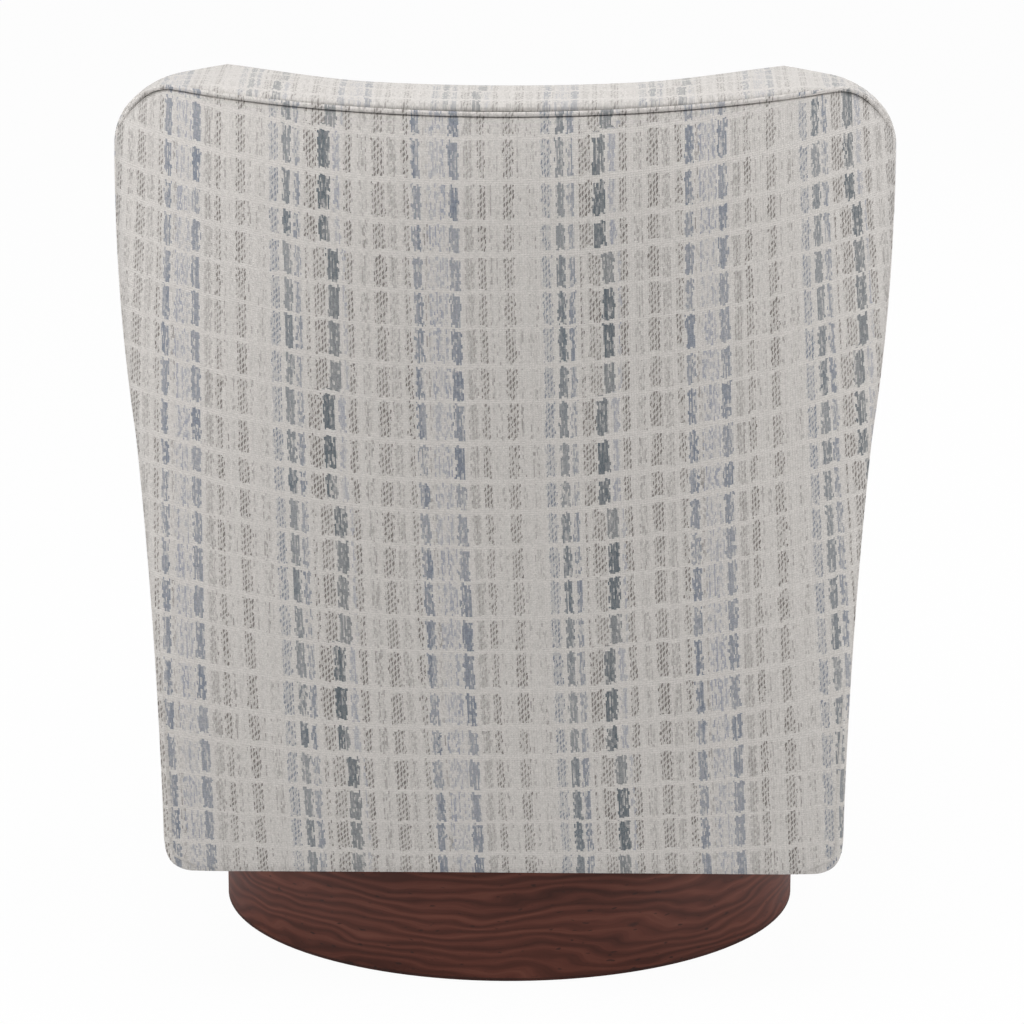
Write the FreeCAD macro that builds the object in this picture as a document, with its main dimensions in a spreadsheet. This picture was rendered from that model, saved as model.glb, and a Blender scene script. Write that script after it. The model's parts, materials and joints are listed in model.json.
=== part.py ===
import FreeCAD, Part
import math
import os

import Sketcher

# Swivel rocker: an upholstered tub chair on a round wood drum.
# Millimetres. +Z is up, the seat faces -Y, +X is the sitter's left.
# The origin is the middle of the drum's footprint on the floor, on the swivel axis.

os.makedirs("parts", exist_ok=True)
doc = FreeCAD.newDocument("SwivelRocker")
sheet = doc.addObject("Spreadsheet::Sheet", "Sizes")
nodes = []
sheet_rows = []


class Size:
    """A length with its value now and the expression that ties it to the sheet."""

    def __init__(self, value, text):
        self.value = float(value)
        self.text = text

    def __add__(self, other):
        other = as_size(other)
        return Size(self.value + other.value, f"({self.text} + {other.text})")

    def __radd__(self, other):
        return as_size(other) + self

    def __sub__(self, other):
        other = as_size(other)
        return Size(self.value - other.value, f"({self.text} - {other.text})")

    def __rsub__(self, other):
        return as_size(other) - self

    def __mul__(self, other):
        other = as_size(other)
        return Size(self.value * other.value, f"({self.text} * {other.text})")

    __rmul__ = __mul__

    def __truediv__(self, other):
        other = as_size(other)
        return Size(self.value / other.value, f"({self.text} / {other.text})")

    def __neg__(self):
        return Size(-self.value, f"(-1 * {self.text})")


def as_size(number):
    if isinstance(number, Size):
        return number
    return Size(number, repr(float(number)))


def size(name, value):
    """Writes a driving dimension into the sheet under its own alias."""
    sheet_rows.append(name)
    row = len(sheet_rows)
    sheet.set(f"A{row}", name)
    sheet.set(f"B{row}", str(value))
    sheet.setAlias(f"B{row}", name)
    return Size(value, f"Sizes.{name}")


def root(area):
    return Size(math.sqrt(area.value), f"sqrt({area.text})")


def polar(radius, turn_deg):
    """Across and along coordinates of a point on a bolt circle."""
    angle = math.radians(turn_deg)
    across = Size(radius.value * math.cos(angle), f"({radius.text} * cos({turn_deg} deg))")
    along = Size(radius.value * math.sin(angle), f"({radius.text} * sin({turn_deg} deg))")
    return across, along


# Driving dimensions: the drum
plinth_diameter = size("plinth_diameter", 610)
plinth_height = size("plinth_height", 125)
plinth_wall = size("plinth_wall", 18)
plinth_top_thickness = size("plinth_top_thickness", 18)
glue_block_height = size("glue_block_height", 46)
glue_block_depth = size("glue_block_depth", 36)
glide_height = size("glide_height", 3)
glide_diameter = size("glide_diameter", 8)
glide_setback = size("glide_setback", 13)
fit_gap = size("fit_gap", 0.3)
running_gap = size("running_gap", 0.05)

# Driving dimensions: the body seen from behind
hem_height = size("hem_height", 141)
hem_half_width = size("hem_half_width", 343.6)
hem_corner_radius = size("hem_corner_radius", 26)
waist_height = size("waist_height", 584)
waist_half_width = size("waist_half_width", 366.8)
side_hollow_radius = size("side_hollow_radius", 4760)
side_swell_radius = size("side_swell_radius", 1900)
top_half_width = size("top_half_width", 387.6)
top_corner_radius = size("top_corner_radius", 62)
top_corner_height = size("top_corner_height", 933)
welt_edge_radius = size("welt_edge_radius", 7570)
crest_height = size("crest_height", 945.5)
crest_half_length = size("crest_half_length", 240)
skin = size("skin", 12)
lining_top = size("lining_top", 912)
welt_width = size("welt_width", 5.5)

# Driving dimensions: the rear face at six heights, each a height, a depth behind
# the swivel axis and the radius that the face bows on
rear_levels = [
    (size("rear_foot_height", 120), size("rear_foot_depth", 359), size("rear_foot_radius", 12000)),
    (size("rear_rail_height", 300), size("rear_rail_depth", 378), size("rear_rail_radius", 2600)),
    (size("rear_seat_height", 500), size("rear_seat_depth", 400.5), size("rear_seat_radius", 1040)),
    (size("rear_loin_height", 700), size("rear_loin_depth", 418), size("rear_loin_radius", 700)),
    (size("rear_wing_height", 850), size("rear_wing_depth", 425), size("rear_wing_radius", 580)),
    (size("rear_crest_height", 960), size("rear_crest_depth", 425), size("rear_crest_radius", 544)),
]
rear_half_span = size("rear_half_span", 430)

# Driving dimensions: the inside back in the same way
inner_levels = [
    (size("inner_foot_height", 100), size("inner_foot_depth", 96), size("inner_foot_radius", 3600)),
    (size("inner_deck_height", 300), size("inner_deck_depth", 126), size("inner_deck_radius", 3000)),
    (size("inner_seat_height", 480), size("inner_seat_depth", 163), size("inner_seat_radius", 1570)),
    (size("inner_loin_height", 700), size("inner_loin_depth", 222), size("inner_loin_radius", 652)),
    (size("inner_wing_height", 850), size("inner_wing_depth", 264), size("inner_wing_radius", 469)),
    (size("inner_edge_height", 935), size("inner_edge_depth", 290), size("inner_edge_radius", 409)),
    (size("inner_over_height", 1000), size("inner_over_depth", 304), size("inner_over_radius", 400)),
]
inner_half_span = size("inner_half_span", 335)
inside_back_thickness = size("inside_back_thickness", 45)
crown_radius = size("crown_radius", 182)
crown_edge_height = size("crown_edge_height", 930)
crown_skirt_height = size("crown_skirt_height", 905)
crown_skirt_reach = size("crown_skirt_reach", 76)

# Driving dimensions: the arms and the seat seen from the side and from the front
body_front = size("body_front", 424)
arm_front_height = size("arm_front_height", 604)
arm_front_radius = size("arm_front_radius", 40)
swoop_foot_depth = size("swoop_foot_depth", 30)
swoop_foot_height = size("swoop_foot_height", 626)
swoop_head_depth = size("swoop_head_depth", 160)
swoop_head_height = size("swoop_head_height", 790)
swoop_radius = size("swoop_radius", 223.5)
swoop_head_slope = size("swoop_head_slope", 0.26)
swoop_foot_slope = size("swoop_foot_slope", 0.12)
wing_front_depth = size("wing_front_depth", 178)
wing_front_height = size("wing_front_height", 920)
wing_round = size("wing_round", 30)
wing_back_depth = size("wing_back_depth", 245)
arm_padding = size("arm_padding", 25)
seat_half_width = size("seat_half_width", 262)
seat_flare = size("seat_flare", 18)
deck_thickness = size("deck_thickness", 16)
band_seam_height = size("band_seam_height", 800)
cushion_thickness = size("cushion_thickness", 162)
cushion_dome_radius = size("cushion_dome_radius", 1450)
cushion_corner = size("cushion_corner", 38)
cushion_edge = size("cushion_edge", 16)
cushion_side_radius = size("cushion_side_radius", 4500)
cushion_front_lap = size("cushion_front_lap", 6)
cushion_side_gap = size("cushion_side_gap", 3)
cushion_depth = size("cushion_depth", 533)

# Driving dimensions: the frame
board = size("board", 18)
front_board = size("front_board", 25)
frame_hem = size("frame_hem", 5)
rail_top = size("rail_top", 300)
rear_rail_inside = size("rear_rail_inside", 331)
cross_rail_depth = size("cross_rail_depth", 70)
cross_rail_height = size("cross_rail_height", 38)
cross_rail_offset = size("cross_rail_offset", 115)
post_thickness = size("post_thickness", 24.3)
post_front_depth = size("post_front_depth", 160)
mid_rail_height = size("mid_rail_height", 600)
lower_rail_height = size("lower_rail_height", 40)
lower_rail_thickness = size("lower_rail_thickness", 20)
arm_post_inside = size("arm_post_inside", 296)
arm_post_depth = size("arm_post_depth", 35)
arm_board_outside = size("arm_board_outside", 345)
corner_block_leg = size("corner_block_leg", 60)
corner_block_height = size("corner_block_height", 60)

# Driving dimensions: the swivel and the rocker
plate_thickness = size("plate_thickness", 3)
lower_plate_radius = size("lower_plate_radius", 125)
upper_plate_radius = size("upper_plate_radius", 115)
race_radius = size("race_radius", 95)
ball_radius = size("ball_radius", 4)
race_depth = size("race_depth", 1)
cage_half_width = size("cage_half_width", 7)
cage_thickness = size("cage_thickness", 1.6)
pin_radius = size("pin_radius", 6)
pin_flange_radius = size("pin_flange_radius", 14)
pin_flange_thickness = size("pin_flange_thickness", 3.5)
nut_height = size("nut_height", 9)
nut_half_flats = size("nut_half_flats", 9.6)
pin_above_nut = size("pin_above_nut", 3)
pin_hole_radius = size("pin_hole_radius", 16)
screw_circle = size("screw_circle", 111)
screw_radius = size("screw_radius", 2.2)
screw_length = size("screw_length", 15)
screw_head_radius = size("screw_head_radius", 4)
saddle_half_width = size("saddle_half_width", 110)
saddle_half_length = size("saddle_half_length", 132)
saddle_thickness = size("saddle_thickness", 4)
saddle_hole_radius = size("saddle_hole_radius", 17)
rivet_offset = size("rivet_offset", 45)
rivet_radius = size("rivet_radius", 4)
rivet_head_radius = size("rivet_head_radius", 7)
rivet_head = size("rivet_head", 2)
rock_height = size("rock_height", 168)
cheek_half_length = size("cheek_half_length", 35)
cheek_rise = size("cheek_rise", 16)
shaft_radius = size("shaft_radius", 7)
bush_wall = size("bush_wall", 1.9)
bush_flange = size("bush_flange", 2)
bush_flange_radius = size("bush_flange_radius", 12)
iron_gap = size("iron_gap", 3)
iron_thickness = size("iron_thickness", 4)
iron_flange = size("iron_flange", 48)
iron_half_length = size("iron_half_length", 150)
iron_foot_half = size("iron_foot_half", 40)
iron_drop = size("iron_drop", 18)
iron_tip = size("iron_tip", 13)
clip_thickness = size("clip_thickness", 1.5)
clip_width = size("clip_width", 4)
shaft_stub = size("shaft_stub", 2)
cross_rail_bottom = size("cross_rail_bottom", 195)
bolt_offset = size("bolt_offset", 140)
bolt_radius = size("bolt_radius", 4)
bolt_clearance = size("bolt_clearance", 0.2)
bolt_head_radius = size("bolt_head_radius", 9)
bolt_head = size("bolt_head", 4)
bolt_nut = size("bolt_nut", 6.5)
bolt_nut_half_flats = size("bolt_nut_half_flats", 6.5)
bump_radius = size("bump_radius", 12)
rear_bump_height = size("rear_bump_height", 35)
front_bump_height = size("front_bump_height", 40)
coil_offset = size("coil_offset", 60)
coil_reach = size("coil_reach", 100)
coil_radius = size("coil_radius", 16)
coil_wire = size("coil_wire", 4)
seat_wire = size("seat_wire", 4)
seat_wire_bend = size("seat_wire_bend", 15)
seat_wire_half_width = size("seat_wire_half_width", 24)
seat_wire_inner = size("seat_wire_inner", 70)
seat_wire_outer = size("seat_wire_outer", 200)
spring_clip = size("spring_clip", 1.5)
spring_clip_width = size("spring_clip_width", 24)
spring_clip_length = size("spring_clip_length", 16)
cloth = size("cloth", 1.5)
cover_hole_half = size("cover_hole_half", 168)

hexagon_reach = 2 / math.sqrt(3)
glue_block_count = 8
glue_block_turn_deg = 9
glide_count = 8
ball_count = 16
screw_count = 6
coil_turns = 5
far = 700


def bind(item, name, length):
    item.setExpression(name, as_size(length).text)


def place(item, x, y, z):
    bind(item, "Placement.Base.x", x)
    bind(item, "Placement.Base.y", y)
    bind(item, "Placement.Base.z", z)


def box(name, x0, x1, y0, y1, z0, z1):
    """A block between two corners."""
    item = doc.addObject("Part::Box", name)
    bind(item, "Length", as_size(x1) - x0)
    bind(item, "Width", as_size(y1) - y0)
    bind(item, "Height", as_size(z1) - z0)
    place(item, x0, y0, z0)
    return item


def disc(name, radius, x, y, z0, z1):
    """An upright round."""
    item = doc.addObject("Part::Cylinder", name)
    bind(item, "Radius", radius)
    bind(item, "Height", as_size(z1) - z0)
    place(item, x, y, z0)
    return item


def bar(name, radius, x0, x1, z):
    """A round lying across the chair on the rock axis line."""
    item = doc.addObject("Part::Cylinder", name)
    item.Placement.Rotation = FreeCAD.Rotation(FreeCAD.Vector(0, 1, 0), 90)
    bind(item, "Radius", radius)
    bind(item, "Height", as_size(x1) - x0)
    place(item, x0, 0, z)
    return item


def hexagon(name, half_flats, x, y, z0, z1):
    item = doc.addObject("Part::Prism", name)
    item.Polygon = 6
    bind(item, "Circumradius", half_flats * hexagon_reach)
    bind(item, "Height", as_size(z1) - z0)
    place(item, x, y, z0)
    return item


def cut(name, base, *tools):
    for number, tool in enumerate(tools):
        last = number == len(tools) - 1
        item = doc.addObject("Part::Cut", name if last else f"{name}_step_{number}")
        item.Base = base
        item.Tool = tool
        base = item
    return base


def common(name, *shapes):
    item = doc.addObject("Part::MultiCommon", name)
    item.Shapes = list(shapes)
    return item


def fuse(name, *shapes):
    item = doc.addObject("Part::MultiFuse", name)
    item.Shapes = list(shapes)
    return item


def group(name, shapes):
    item = doc.addObject("Part::Compound", name)
    item.Links = list(shapes)
    return item


def mirror(name, source):
    item = doc.addObject("Part::Mirroring", name)
    item.Source = source
    item.Normal = FreeCAD.Vector(1, 0, 0)
    return item


def node(item, label):
    item.Label = label
    nodes.append(item)
    return item


def node_pair(item, label):
    """The sitter's left piece and its mirror image on the right."""
    node(item, f"{label}_left")
    node(mirror(f"{label}_mirror", item), f"{label}_right")


def origin_plane(body, role):
    return next(item for item in body.Origin.OriginFeatures if item.Role == role)


def draw(body, role, name, corners, lift=None):
    """Draws a closed outline on an origin plane. A corner is (across, up) when a straight
    line leaves it, or (across, up, radius, turn) when an arc does: turn is 1 for an arc
    that bends to the left and -1 for one that bends to the right."""
    sketch = body.newObject("Sketcher::SketchObject", name)
    sketch.AttachmentSupport = (origin_plane(body, role), "")
    sketch.MapMode = "FlatFace"
    if lift is not None:
        bind(sketch, "AttachmentOffset.Base.z", lift)
    points = [FreeCAD.Vector(as_size(c[0]).value, as_size(c[1]).value, 0) for c in corners]
    edges = []
    for number, corner in enumerate(corners):
        start = points[number]
        end = points[(number + 1) % len(points)]
        if len(corner) == 2:
            edges.append((sketch.addGeometry(Part.LineSegment(start, end), False), 1, 2, None))
            continue
        radius = as_size(corner[2])
        turn = corner[3]
        chord = end - start
        square = FreeCAD.Vector(-chord.y, chord.x, 0)
        square.normalize()
        reach = math.sqrt(max(radius.value ** 2 - chord.Length ** 2 / 4, 0))
        centre = (start + end) * 0.5 + square * (reach * turn)
        from_angle = math.atan2(start.y - centre.y, start.x - centre.x)
        to_angle = math.atan2(end.y - centre.y, end.x - centre.x)
        circle = Part.Circle(centre, FreeCAD.Vector(0, 0, 1), radius.value)
        if turn > 0:
            arc = Part.ArcOfCircle(circle, from_angle, to_angle)
            edges.append((sketch.addGeometry(arc, False), 1, 2, radius))
        else:
            arc = Part.ArcOfCircle(circle, to_angle, from_angle)
            edges.append((sketch.addGeometry(arc, False), 2, 1, radius))
    for number, (edge, start_end, _, radius) in enumerate(edges):
        last = edges[number - 1]
        sketch.addConstraint(Sketcher.Constraint("Coincident", last[0], last[2], edge, start_end))
        for kind, place_size in zip(("DistanceX", "DistanceY"), corners[number][:2]):
            place_size = as_size(place_size)
            rule = Sketcher.Constraint(kind, -1, 1, edge, start_end, place_size.value)
            bind(sketch, f"Constraints[{sketch.addConstraint(rule)}]", place_size)
        if radius is not None:
            rule = Sketcher.Constraint("Radius", edge, radius.value)
            bind(sketch, f"Constraints[{sketch.addConstraint(rule)}]", radius)
    return sketch


def prism(name, role, corners, length, lift=None, both_ways=False):
    """A pad of an outline, square to its origin plane."""
    body = doc.addObject("PartDesign::Body", name)
    sketch = draw(body, role, f"{name}_outline", corners, lift)
    pad = body.newObject("PartDesign::Pad", f"{name}_pad")
    pad.Profile = sketch
    pad.Midplane = both_ways
    bind(pad, "Length", length)
    body.Tip = pad
    return body


def stacked_loft(name, sections):
    """A smooth loft through level outlines, each given with its height."""
    body = doc.addObject("PartDesign::Body", name)
    sketches = []
    for number, (height, corners) in enumerate(sections):
        sketches.append(draw(body, "XY_Plane", f"{name}_level_{number}", corners, height))
    doc.recompute()
    loft = body.newObject("PartDesign::AdditiveLoft", f"{name}_loft")
    loft.Profile = sketches[0]
    loft.Sections = sketches[1:]
    body.Tip = loft
    return body


# Forms that shape the upholstery

def bowed_form(name, levels, half_span, front, outset):
    """Everything in front of a bowed wall, which moves back by outset."""
    sections = []
    for height, depth, radius in levels:
        radius = radius + outset
        end_depth = depth + outset - radius + root(radius * radius - half_span * half_span)
        corners = [
            (-half_span, -front),
            (half_span, -front),
            (half_span, end_depth, radius, 1),
            (-half_span, end_depth),
        ]
        sections.append((height, corners))
    return stacked_loft(name, sections)


def side_line(inset):
    """The right side seen from behind, from the hem corner up to the top corner."""
    return [
        (hem_half_width - inset - hem_corner_radius, hem_height, hem_corner_radius, 1),
        (hem_half_width - inset, hem_height + hem_corner_radius, side_hollow_radius, -1),
        (waist_half_width - inset, waist_height, side_swell_radius, 1),
    ]


def outline_form(name, inset, top_height, top_line):
    """The body seen from behind, right through the chair."""
    radius = top_corner_radius - inset
    right = side_line(inset)
    right.append((top_half_width - inset, top_height - radius, radius, 1))
    corners = right + top_line
    corners.append((-(top_half_width - inset - radius), top_height, radius, 1))
    corners.append((-(top_half_width - inset), top_height - radius, side_swell_radius, 1))
    corners.append((-(waist_half_width - inset), waist_height, side_hollow_radius, -1))
    corners.append((-(hem_half_width - inset), hem_height + hem_corner_radius, hem_corner_radius, 1))
    corners.append((-(hem_half_width - inset - hem_corner_radius), hem_height))
    return prism(name, "XZ_Plane", corners, 2 * far, both_ways=True)


corner_centre = top_half_width - top_corner_radius


def shell_form():
    top_line = [
        (corner_centre, top_corner_height),
        (crest_half_length, crest_height),
        (-crest_half_length, crest_height),
    ]
    return outline_form("shell_form", as_size(0), top_corner_height, top_line)


def lining_form(name, inset, top_height):
    return outline_form(name, inset, top_height, [(corner_centre, top_height)])


def panel_form(name, inset):
    top_height = top_corner_height - inset
    top_line = [(corner_centre, top_height, welt_edge_radius, -1)]
    return outline_form(name, inset, top_height, top_line)


def side_form(name, inset):
    """The chair seen from its side: wing, swoop, arm top and arm front."""
    corners = [
        (far, 0),
        (far, wing_front_height + wing_round - inset),
        (wing_front_depth + wing_round, wing_front_height + wing_round - inset, wing_round + inset, 1),
        (wing_front_depth + inset, wing_front_height),
        (swoop_head_depth + inset, swoop_head_height - inset * swoop_head_slope,
         swoop_radius + inset, -1),
        (-swoop_foot_depth + inset * swoop_foot_slope, swoop_foot_height - inset),
        (-(body_front - arm_front_radius), arm_front_height - inset, arm_front_radius - inset, 1),
        (-(body_front - inset), arm_front_height - arm_front_radius),
        (-(body_front - inset), 0),
    ]
    return prism(name, "YZ_Plane", corners, 2 * far, both_ways=True)


def crown_form():
    """The rounded top of the back, turned about the centre that its bow has."""
    centre = rear_levels[-1][1] - rear_levels[-1][2]
    outer = rear_levels[-1][2]
    inner = inner_levels[-2][1] - centre
    body = doc.addObject("PartDesign::Body", "crown_form")
    sketch = draw(body, "XZ_Plane", "crown_outline", [
        (0, 0),
        (outer + crown_skirt_reach, 0),
        (outer + crown_skirt_reach, crown_skirt_height),
        (outer, crown_edge_height, crown_radius, 1),
        (inner, inner_levels[-2][0]),
        (0, inner_levels[-2][0]),
    ])
    turn = body.newObject("PartDesign::Revolution", "crown_turn")
    turn.Profile = sketch
    turn.ReferenceAxis = (sketch, ["V_Axis"])
    body.Tip = turn
    place(body, 0, centre, 0)
    return body


def well_prism(name, outset):
    """The space between the arms, wider towards the top."""
    top_height = inner_levels[-1][0]
    corners = [
        (-(seat_half_width + outset), 0),
        (seat_half_width + outset, 0),
        (seat_half_width + outset, rail_top),
        (seat_half_width + seat_flare + outset, top_height),
        (-(seat_half_width + seat_flare + outset), top_height),
        (-(seat_half_width + outset), rail_top),
    ]
    return prism(name, "XZ_Plane", corners, 2 * far, both_ways=True)


def arm_zone(name, outset):
    """Everything outside the left arm's inner face."""
    top_height = inner_levels[-1][0]
    corners = [
        (seat_half_width + outset, 0),
        (rear_half_span, 0),
        (rear_half_span, top_height),
        (seat_half_width + seat_flare + outset, top_height),
        (seat_half_width + outset, rail_top),
    ]
    return prism(name, "XZ_Plane", corners, 2 * far, both_ways=True)


rear_outer = bowed_form("rear_outer", rear_levels, rear_half_span, far, as_size(0))
rear_proud = bowed_form("rear_proud", rear_levels, rear_half_span, far, welt_width / 2)
rear_sunk = bowed_form("rear_sunk", rear_levels, rear_half_span, far, -(welt_width / 2))
rear_inner = bowed_form("rear_inner", rear_levels, rear_half_span, far, -skin)
rear_frame = bowed_form("rear_frame", rear_levels, rear_half_span, far, -(skin + fit_gap))
inner_face = bowed_form("inner_face", inner_levels, inner_half_span, far, as_size(0))
pad_back = bowed_form("pad_back", inner_levels, inner_half_span, far, inside_back_thickness)
frame_face = bowed_form(
    "frame_face", inner_levels, inner_half_span, far, inside_back_thickness + fit_gap)
lower_rail_back = bowed_form(
    "lower_rail_back", inner_levels, inner_half_span, far,
    inside_back_thickness + fit_gap + lower_rail_thickness)
shell = shell_form()
lining = lining_form("lining", skin, lining_top)
lining_inside = lining_form("lining_inside", skin + fit_gap, lining_top - fit_gap)
panel_edge = panel_form("panel_edge", as_size(0))
panel_seam = panel_form("panel_seam", welt_width)
side_outer = side_form("side_outer", as_size(0))
side_cavity = side_form("side_cavity", arm_padding)
crown = crown_form()
well = well_prism("well", as_size(0))
arm_outer_zone = arm_zone("arm_outer_zone", as_size(0))
arm_cavity_zone = arm_zone("arm_cavity_zone", arm_padding)


# The drum

plinth_radius = plinth_diameter / 2
bore_radius = plinth_radius - plinth_wall
board_radius = bore_radius - fit_gap
top_underside = plinth_height - plinth_top_thickness


def make_drum():
    outside = disc("drum_outside", plinth_radius, 0, 0, glide_height, plinth_height)
    bore = disc("drum_bore", bore_radius, 0, 0, 0, plinth_height + 1)
    node(cut("drum", outside, bore), "plinth_drum")


def make_plinth_top():
    round_board = disc("top_board", board_radius, 0, 0, top_underside, plinth_height)
    middle = disc("top_board_hole", pin_hole_radius, 0, 0, top_underside - 1, plinth_height + 1)
    pilots = []
    for number in range(screw_count):
        x, y = polar(screw_circle, number * 360 / screw_count)
        pilots.append(disc(
            f"pilot_{number}", screw_radius + bolt_clearance / 2, x, y,
            plinth_height - screw_length - 1, plinth_height + 1))
    node(cut("top_board_cut", round_board, middle, group("pilots", pilots)), "plinth_top")


def make_glue_blocks():
    blocks = []
    inner = disc("block_inner", board_radius - glue_block_depth, 0, 0, 0, plinth_height)
    for number in range(glue_block_count):
        sector = disc(
            f"block_sector_{number}", board_radius, 0, 0,
            top_underside - glue_block_height, top_underside)
        sector.Angle = glue_block_turn_deg
        turn = number * 360 / glue_block_count
        sector.Placement.Rotation = FreeCAD.Rotation(FreeCAD.Vector(0, 0, 1), turn)
        blocks.append(cut(f"block_{number}", sector, inner))
    node(group("blocks", blocks), "plinth_glue_blocks")


def make_glides():
    glides = []
    for number in range(glide_count):
        x, y = polar(plinth_radius - glide_setback, number * 360 / glide_count)
        glides.append(disc(f"glide_{number}", glide_diameter / 2, x, y, 0, glide_height))
    node(group("glides", glides), "floor_glides")


make_drum()
make_plinth_top()
make_glue_blocks()
make_glides()


# The swivel

lower_plate_top = plinth_height + plate_thickness
ball_height = lower_plate_top - race_depth + ball_radius
upper_plate_bottom = ball_height + ball_radius - race_depth
upper_plate_top = upper_plate_bottom + plate_thickness
saddle_top = upper_plate_top + saddle_thickness
groove_radius = ball_radius + running_gap * 2


def groove(name):
    item = doc.addObject("Part::Torus", name)
    bind(item, "Radius1", race_radius)
    bind(item, "Radius2", groove_radius)
    place(item, 0, 0, ball_height)
    return item


def make_lower_plate():
    plate = disc("lower_plate_disc", lower_plate_radius, 0, 0, plinth_height, lower_plate_top)
    middle = disc("lower_plate_hole", pin_radius + running_gap, 0, 0, 0, plinth_height * 2)
    holes = []
    for number in range(screw_count):
        x, y = polar(screw_circle, number * 360 / screw_count)
        holes.append(disc(
            f"screw_hole_{number}", screw_radius + bolt_clearance, x, y, 0, plinth_height * 2))
    node(
        cut("lower_plate", plate, middle, groove("lower_groove"), group("screw_holes", holes)),
        "swivel_lower_plate")


def make_screws():
    screws = []
    for number in range(screw_count):
        x, y = polar(screw_circle, number * 360 / screw_count)
        shank = disc(
            f"screw_shank_{number}", screw_radius, x, y,
            plinth_height - screw_length, lower_plate_top)
        head = disc(
            f"screw_head_{number}", screw_head_radius, x, y,
            lower_plate_top, lower_plate_top + screw_radius)
        screws.append(fuse(f"screw_{number}", shank, head))
    node(group("screws", screws), "swivel_screws")


def make_king_pin():
    flange = disc(
        "pin_flange", pin_flange_radius, 0, 0,
        plinth_height - pin_flange_thickness, plinth_height)
    pin_top = upper_plate_top + nut_height + pin_above_nut
    shank = disc("pin_shank", pin_radius, 0, 0, plinth_height - pin_flange_thickness, pin_top)
    node(fuse("pin", flange, shank), "king_pin")
    nut_bottom = upper_plate_top + fit_gap
    blank = hexagon("nut_blank", nut_half_flats, 0, 0, nut_bottom, nut_bottom + nut_height)
    thread = disc("nut_thread", pin_radius, 0, 0, 0, far)
    node(cut("nut", blank, thread), "king_nut")


def make_ball_ring():
    balls = []
    windows = []
    for number in range(ball_count):
        x, y = polar(race_radius, number * 360 / ball_count)
        ball = doc.addObject("Part::Sphere", f"ball_{number}")
        bind(ball, "Radius", ball_radius)
        place(ball, x, y, ball_height)
        balls.append(ball)
        windows.append(disc(
            f"window_{number}", ball_radius + running_gap * 2, x, y, 0, plinth_height * 2))
    low = ball_height - cage_thickness / 2
    high = ball_height + cage_thickness / 2
    outside = disc("cage_outside", race_radius + cage_half_width, 0, 0, low, high)
    inside = disc("cage_inside", race_radius - cage_half_width, 0, 0, low - 1, high + 1)
    node(cut("cage", outside, inside, group("windows", windows)), "ball_cage")
    node(group("balls", balls), "swivel_balls")


def make_upper_plate():
    plate = disc(
        "upper_plate_disc", upper_plate_radius, 0, 0, upper_plate_bottom, upper_plate_top)
    middle = disc("upper_plate_hole", pin_radius + running_gap, 0, 0, 0, plinth_height * 2)
    holes = rivet_rounds("upper_rivet_hole", rivet_radius + bolt_clearance / 4, 0, plinth_height * 2)
    node(
        cut("upper_plate", plate, middle, groove("upper_groove"), group("upper_holes", holes)),
        "swivel_upper_plate")


def rivet_rounds(name, radius, low, high):
    rounds = []
    for number, (side, end) in enumerate(((1, 1), (1, -1), (-1, 1), (-1, -1))):
        rounds.append(disc(
            f"{name}_{number}", radius, rivet_offset * side, rivet_offset * end, low, high))
    return rounds


def make_saddle():
    """A pressed channel: a floor with a cheek turned up along each side."""
    floor = box(
        "saddle_floor", -saddle_half_width, saddle_half_width,
        -saddle_half_length, saddle_half_length, upper_plate_top, saddle_top)
    cheek = box(
        "saddle_cheek", saddle_half_width - saddle_thickness, saddle_half_width,
        -cheek_half_length, cheek_half_length, upper_plate_top, rock_height + cheek_rise)
    blank = fuse("saddle_blank", floor, cheek, mirror("saddle_cheek_mirror", cheek))
    middle = disc("saddle_hole", saddle_hole_radius, 0, 0, 0, rock_height)
    bores = bar("saddle_bores", shaft_radius + running_gap, -far, far, rock_height)
    holes = rivet_rounds("saddle_rivet_hole", rivet_radius + bolt_clearance / 4, 0, rock_height)
    node(cut("saddle", blank, middle, bores, group("saddle_holes", holes)), "rocker_saddle")


def make_rivets():
    shanks = rivet_rounds(
        "rivet_shank", rivet_radius, upper_plate_bottom - rivet_head, saddle_top + rivet_head)
    feet = rivet_rounds(
        "rivet_foot", rivet_head_radius, upper_plate_bottom - rivet_head, upper_plate_bottom)
    heads = rivet_rounds("rivet_head", rivet_head_radius, saddle_top, saddle_top + rivet_head)
    rivets = []
    for number, parts in enumerate(zip(shanks, feet, heads)):
        rivets.append(fuse(f"rivet_{number}", *parts))
    node(group("rivets", rivets), "saddle_rivets")


make_lower_plate()
make_screws()
make_king_pin()
make_ball_ring()
make_upper_plate()
make_saddle()
make_rivets()


# The rocker

iron_inside = saddle_half_width + iron_gap
iron_outside = iron_inside + iron_thickness
bush_end = iron_outside + 1
clip_inside = bush_end + running_gap * 10
clip_outside = clip_inside + clip_thickness
iron_top = cross_rail_bottom


def make_shaft():
    end = clip_outside + shaft_stub
    node(bar("shaft", shaft_radius, -end, end, rock_height), "rock_shaft")
    ring = bar("clip_ring", shaft_radius + clip_width, clip_inside, clip_outside, rock_height)
    bore = bar("clip_bore", shaft_radius, 0, far, rock_height)
    clip = cut("clip", ring, bore)
    node(group("clips", [clip, mirror("clip_mirror", clip)]), "shaft_clips")


def make_bushes():
    flange_inside = iron_inside - bush_flange - running_gap
    flange = bar(
        "bush_flange_ring", bush_flange_radius, flange_inside,
        iron_inside - running_gap, rock_height)
    barrel = bar("bush_barrel", shaft_radius + bush_wall, flange_inside, bush_end, rock_height)
    bore = bar("bush_bore", shaft_radius + running_gap, 0, far, rock_height)
    bush = cut("bush", fuse("bush_blank", flange, barrel), bore)
    node(group("bushes", [bush, mirror("bush_mirror", bush)]), "shaft_bushes")


def bolt_places():
    return [(side, end) for side in (1, -1) for end in (1, -1)]


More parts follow.
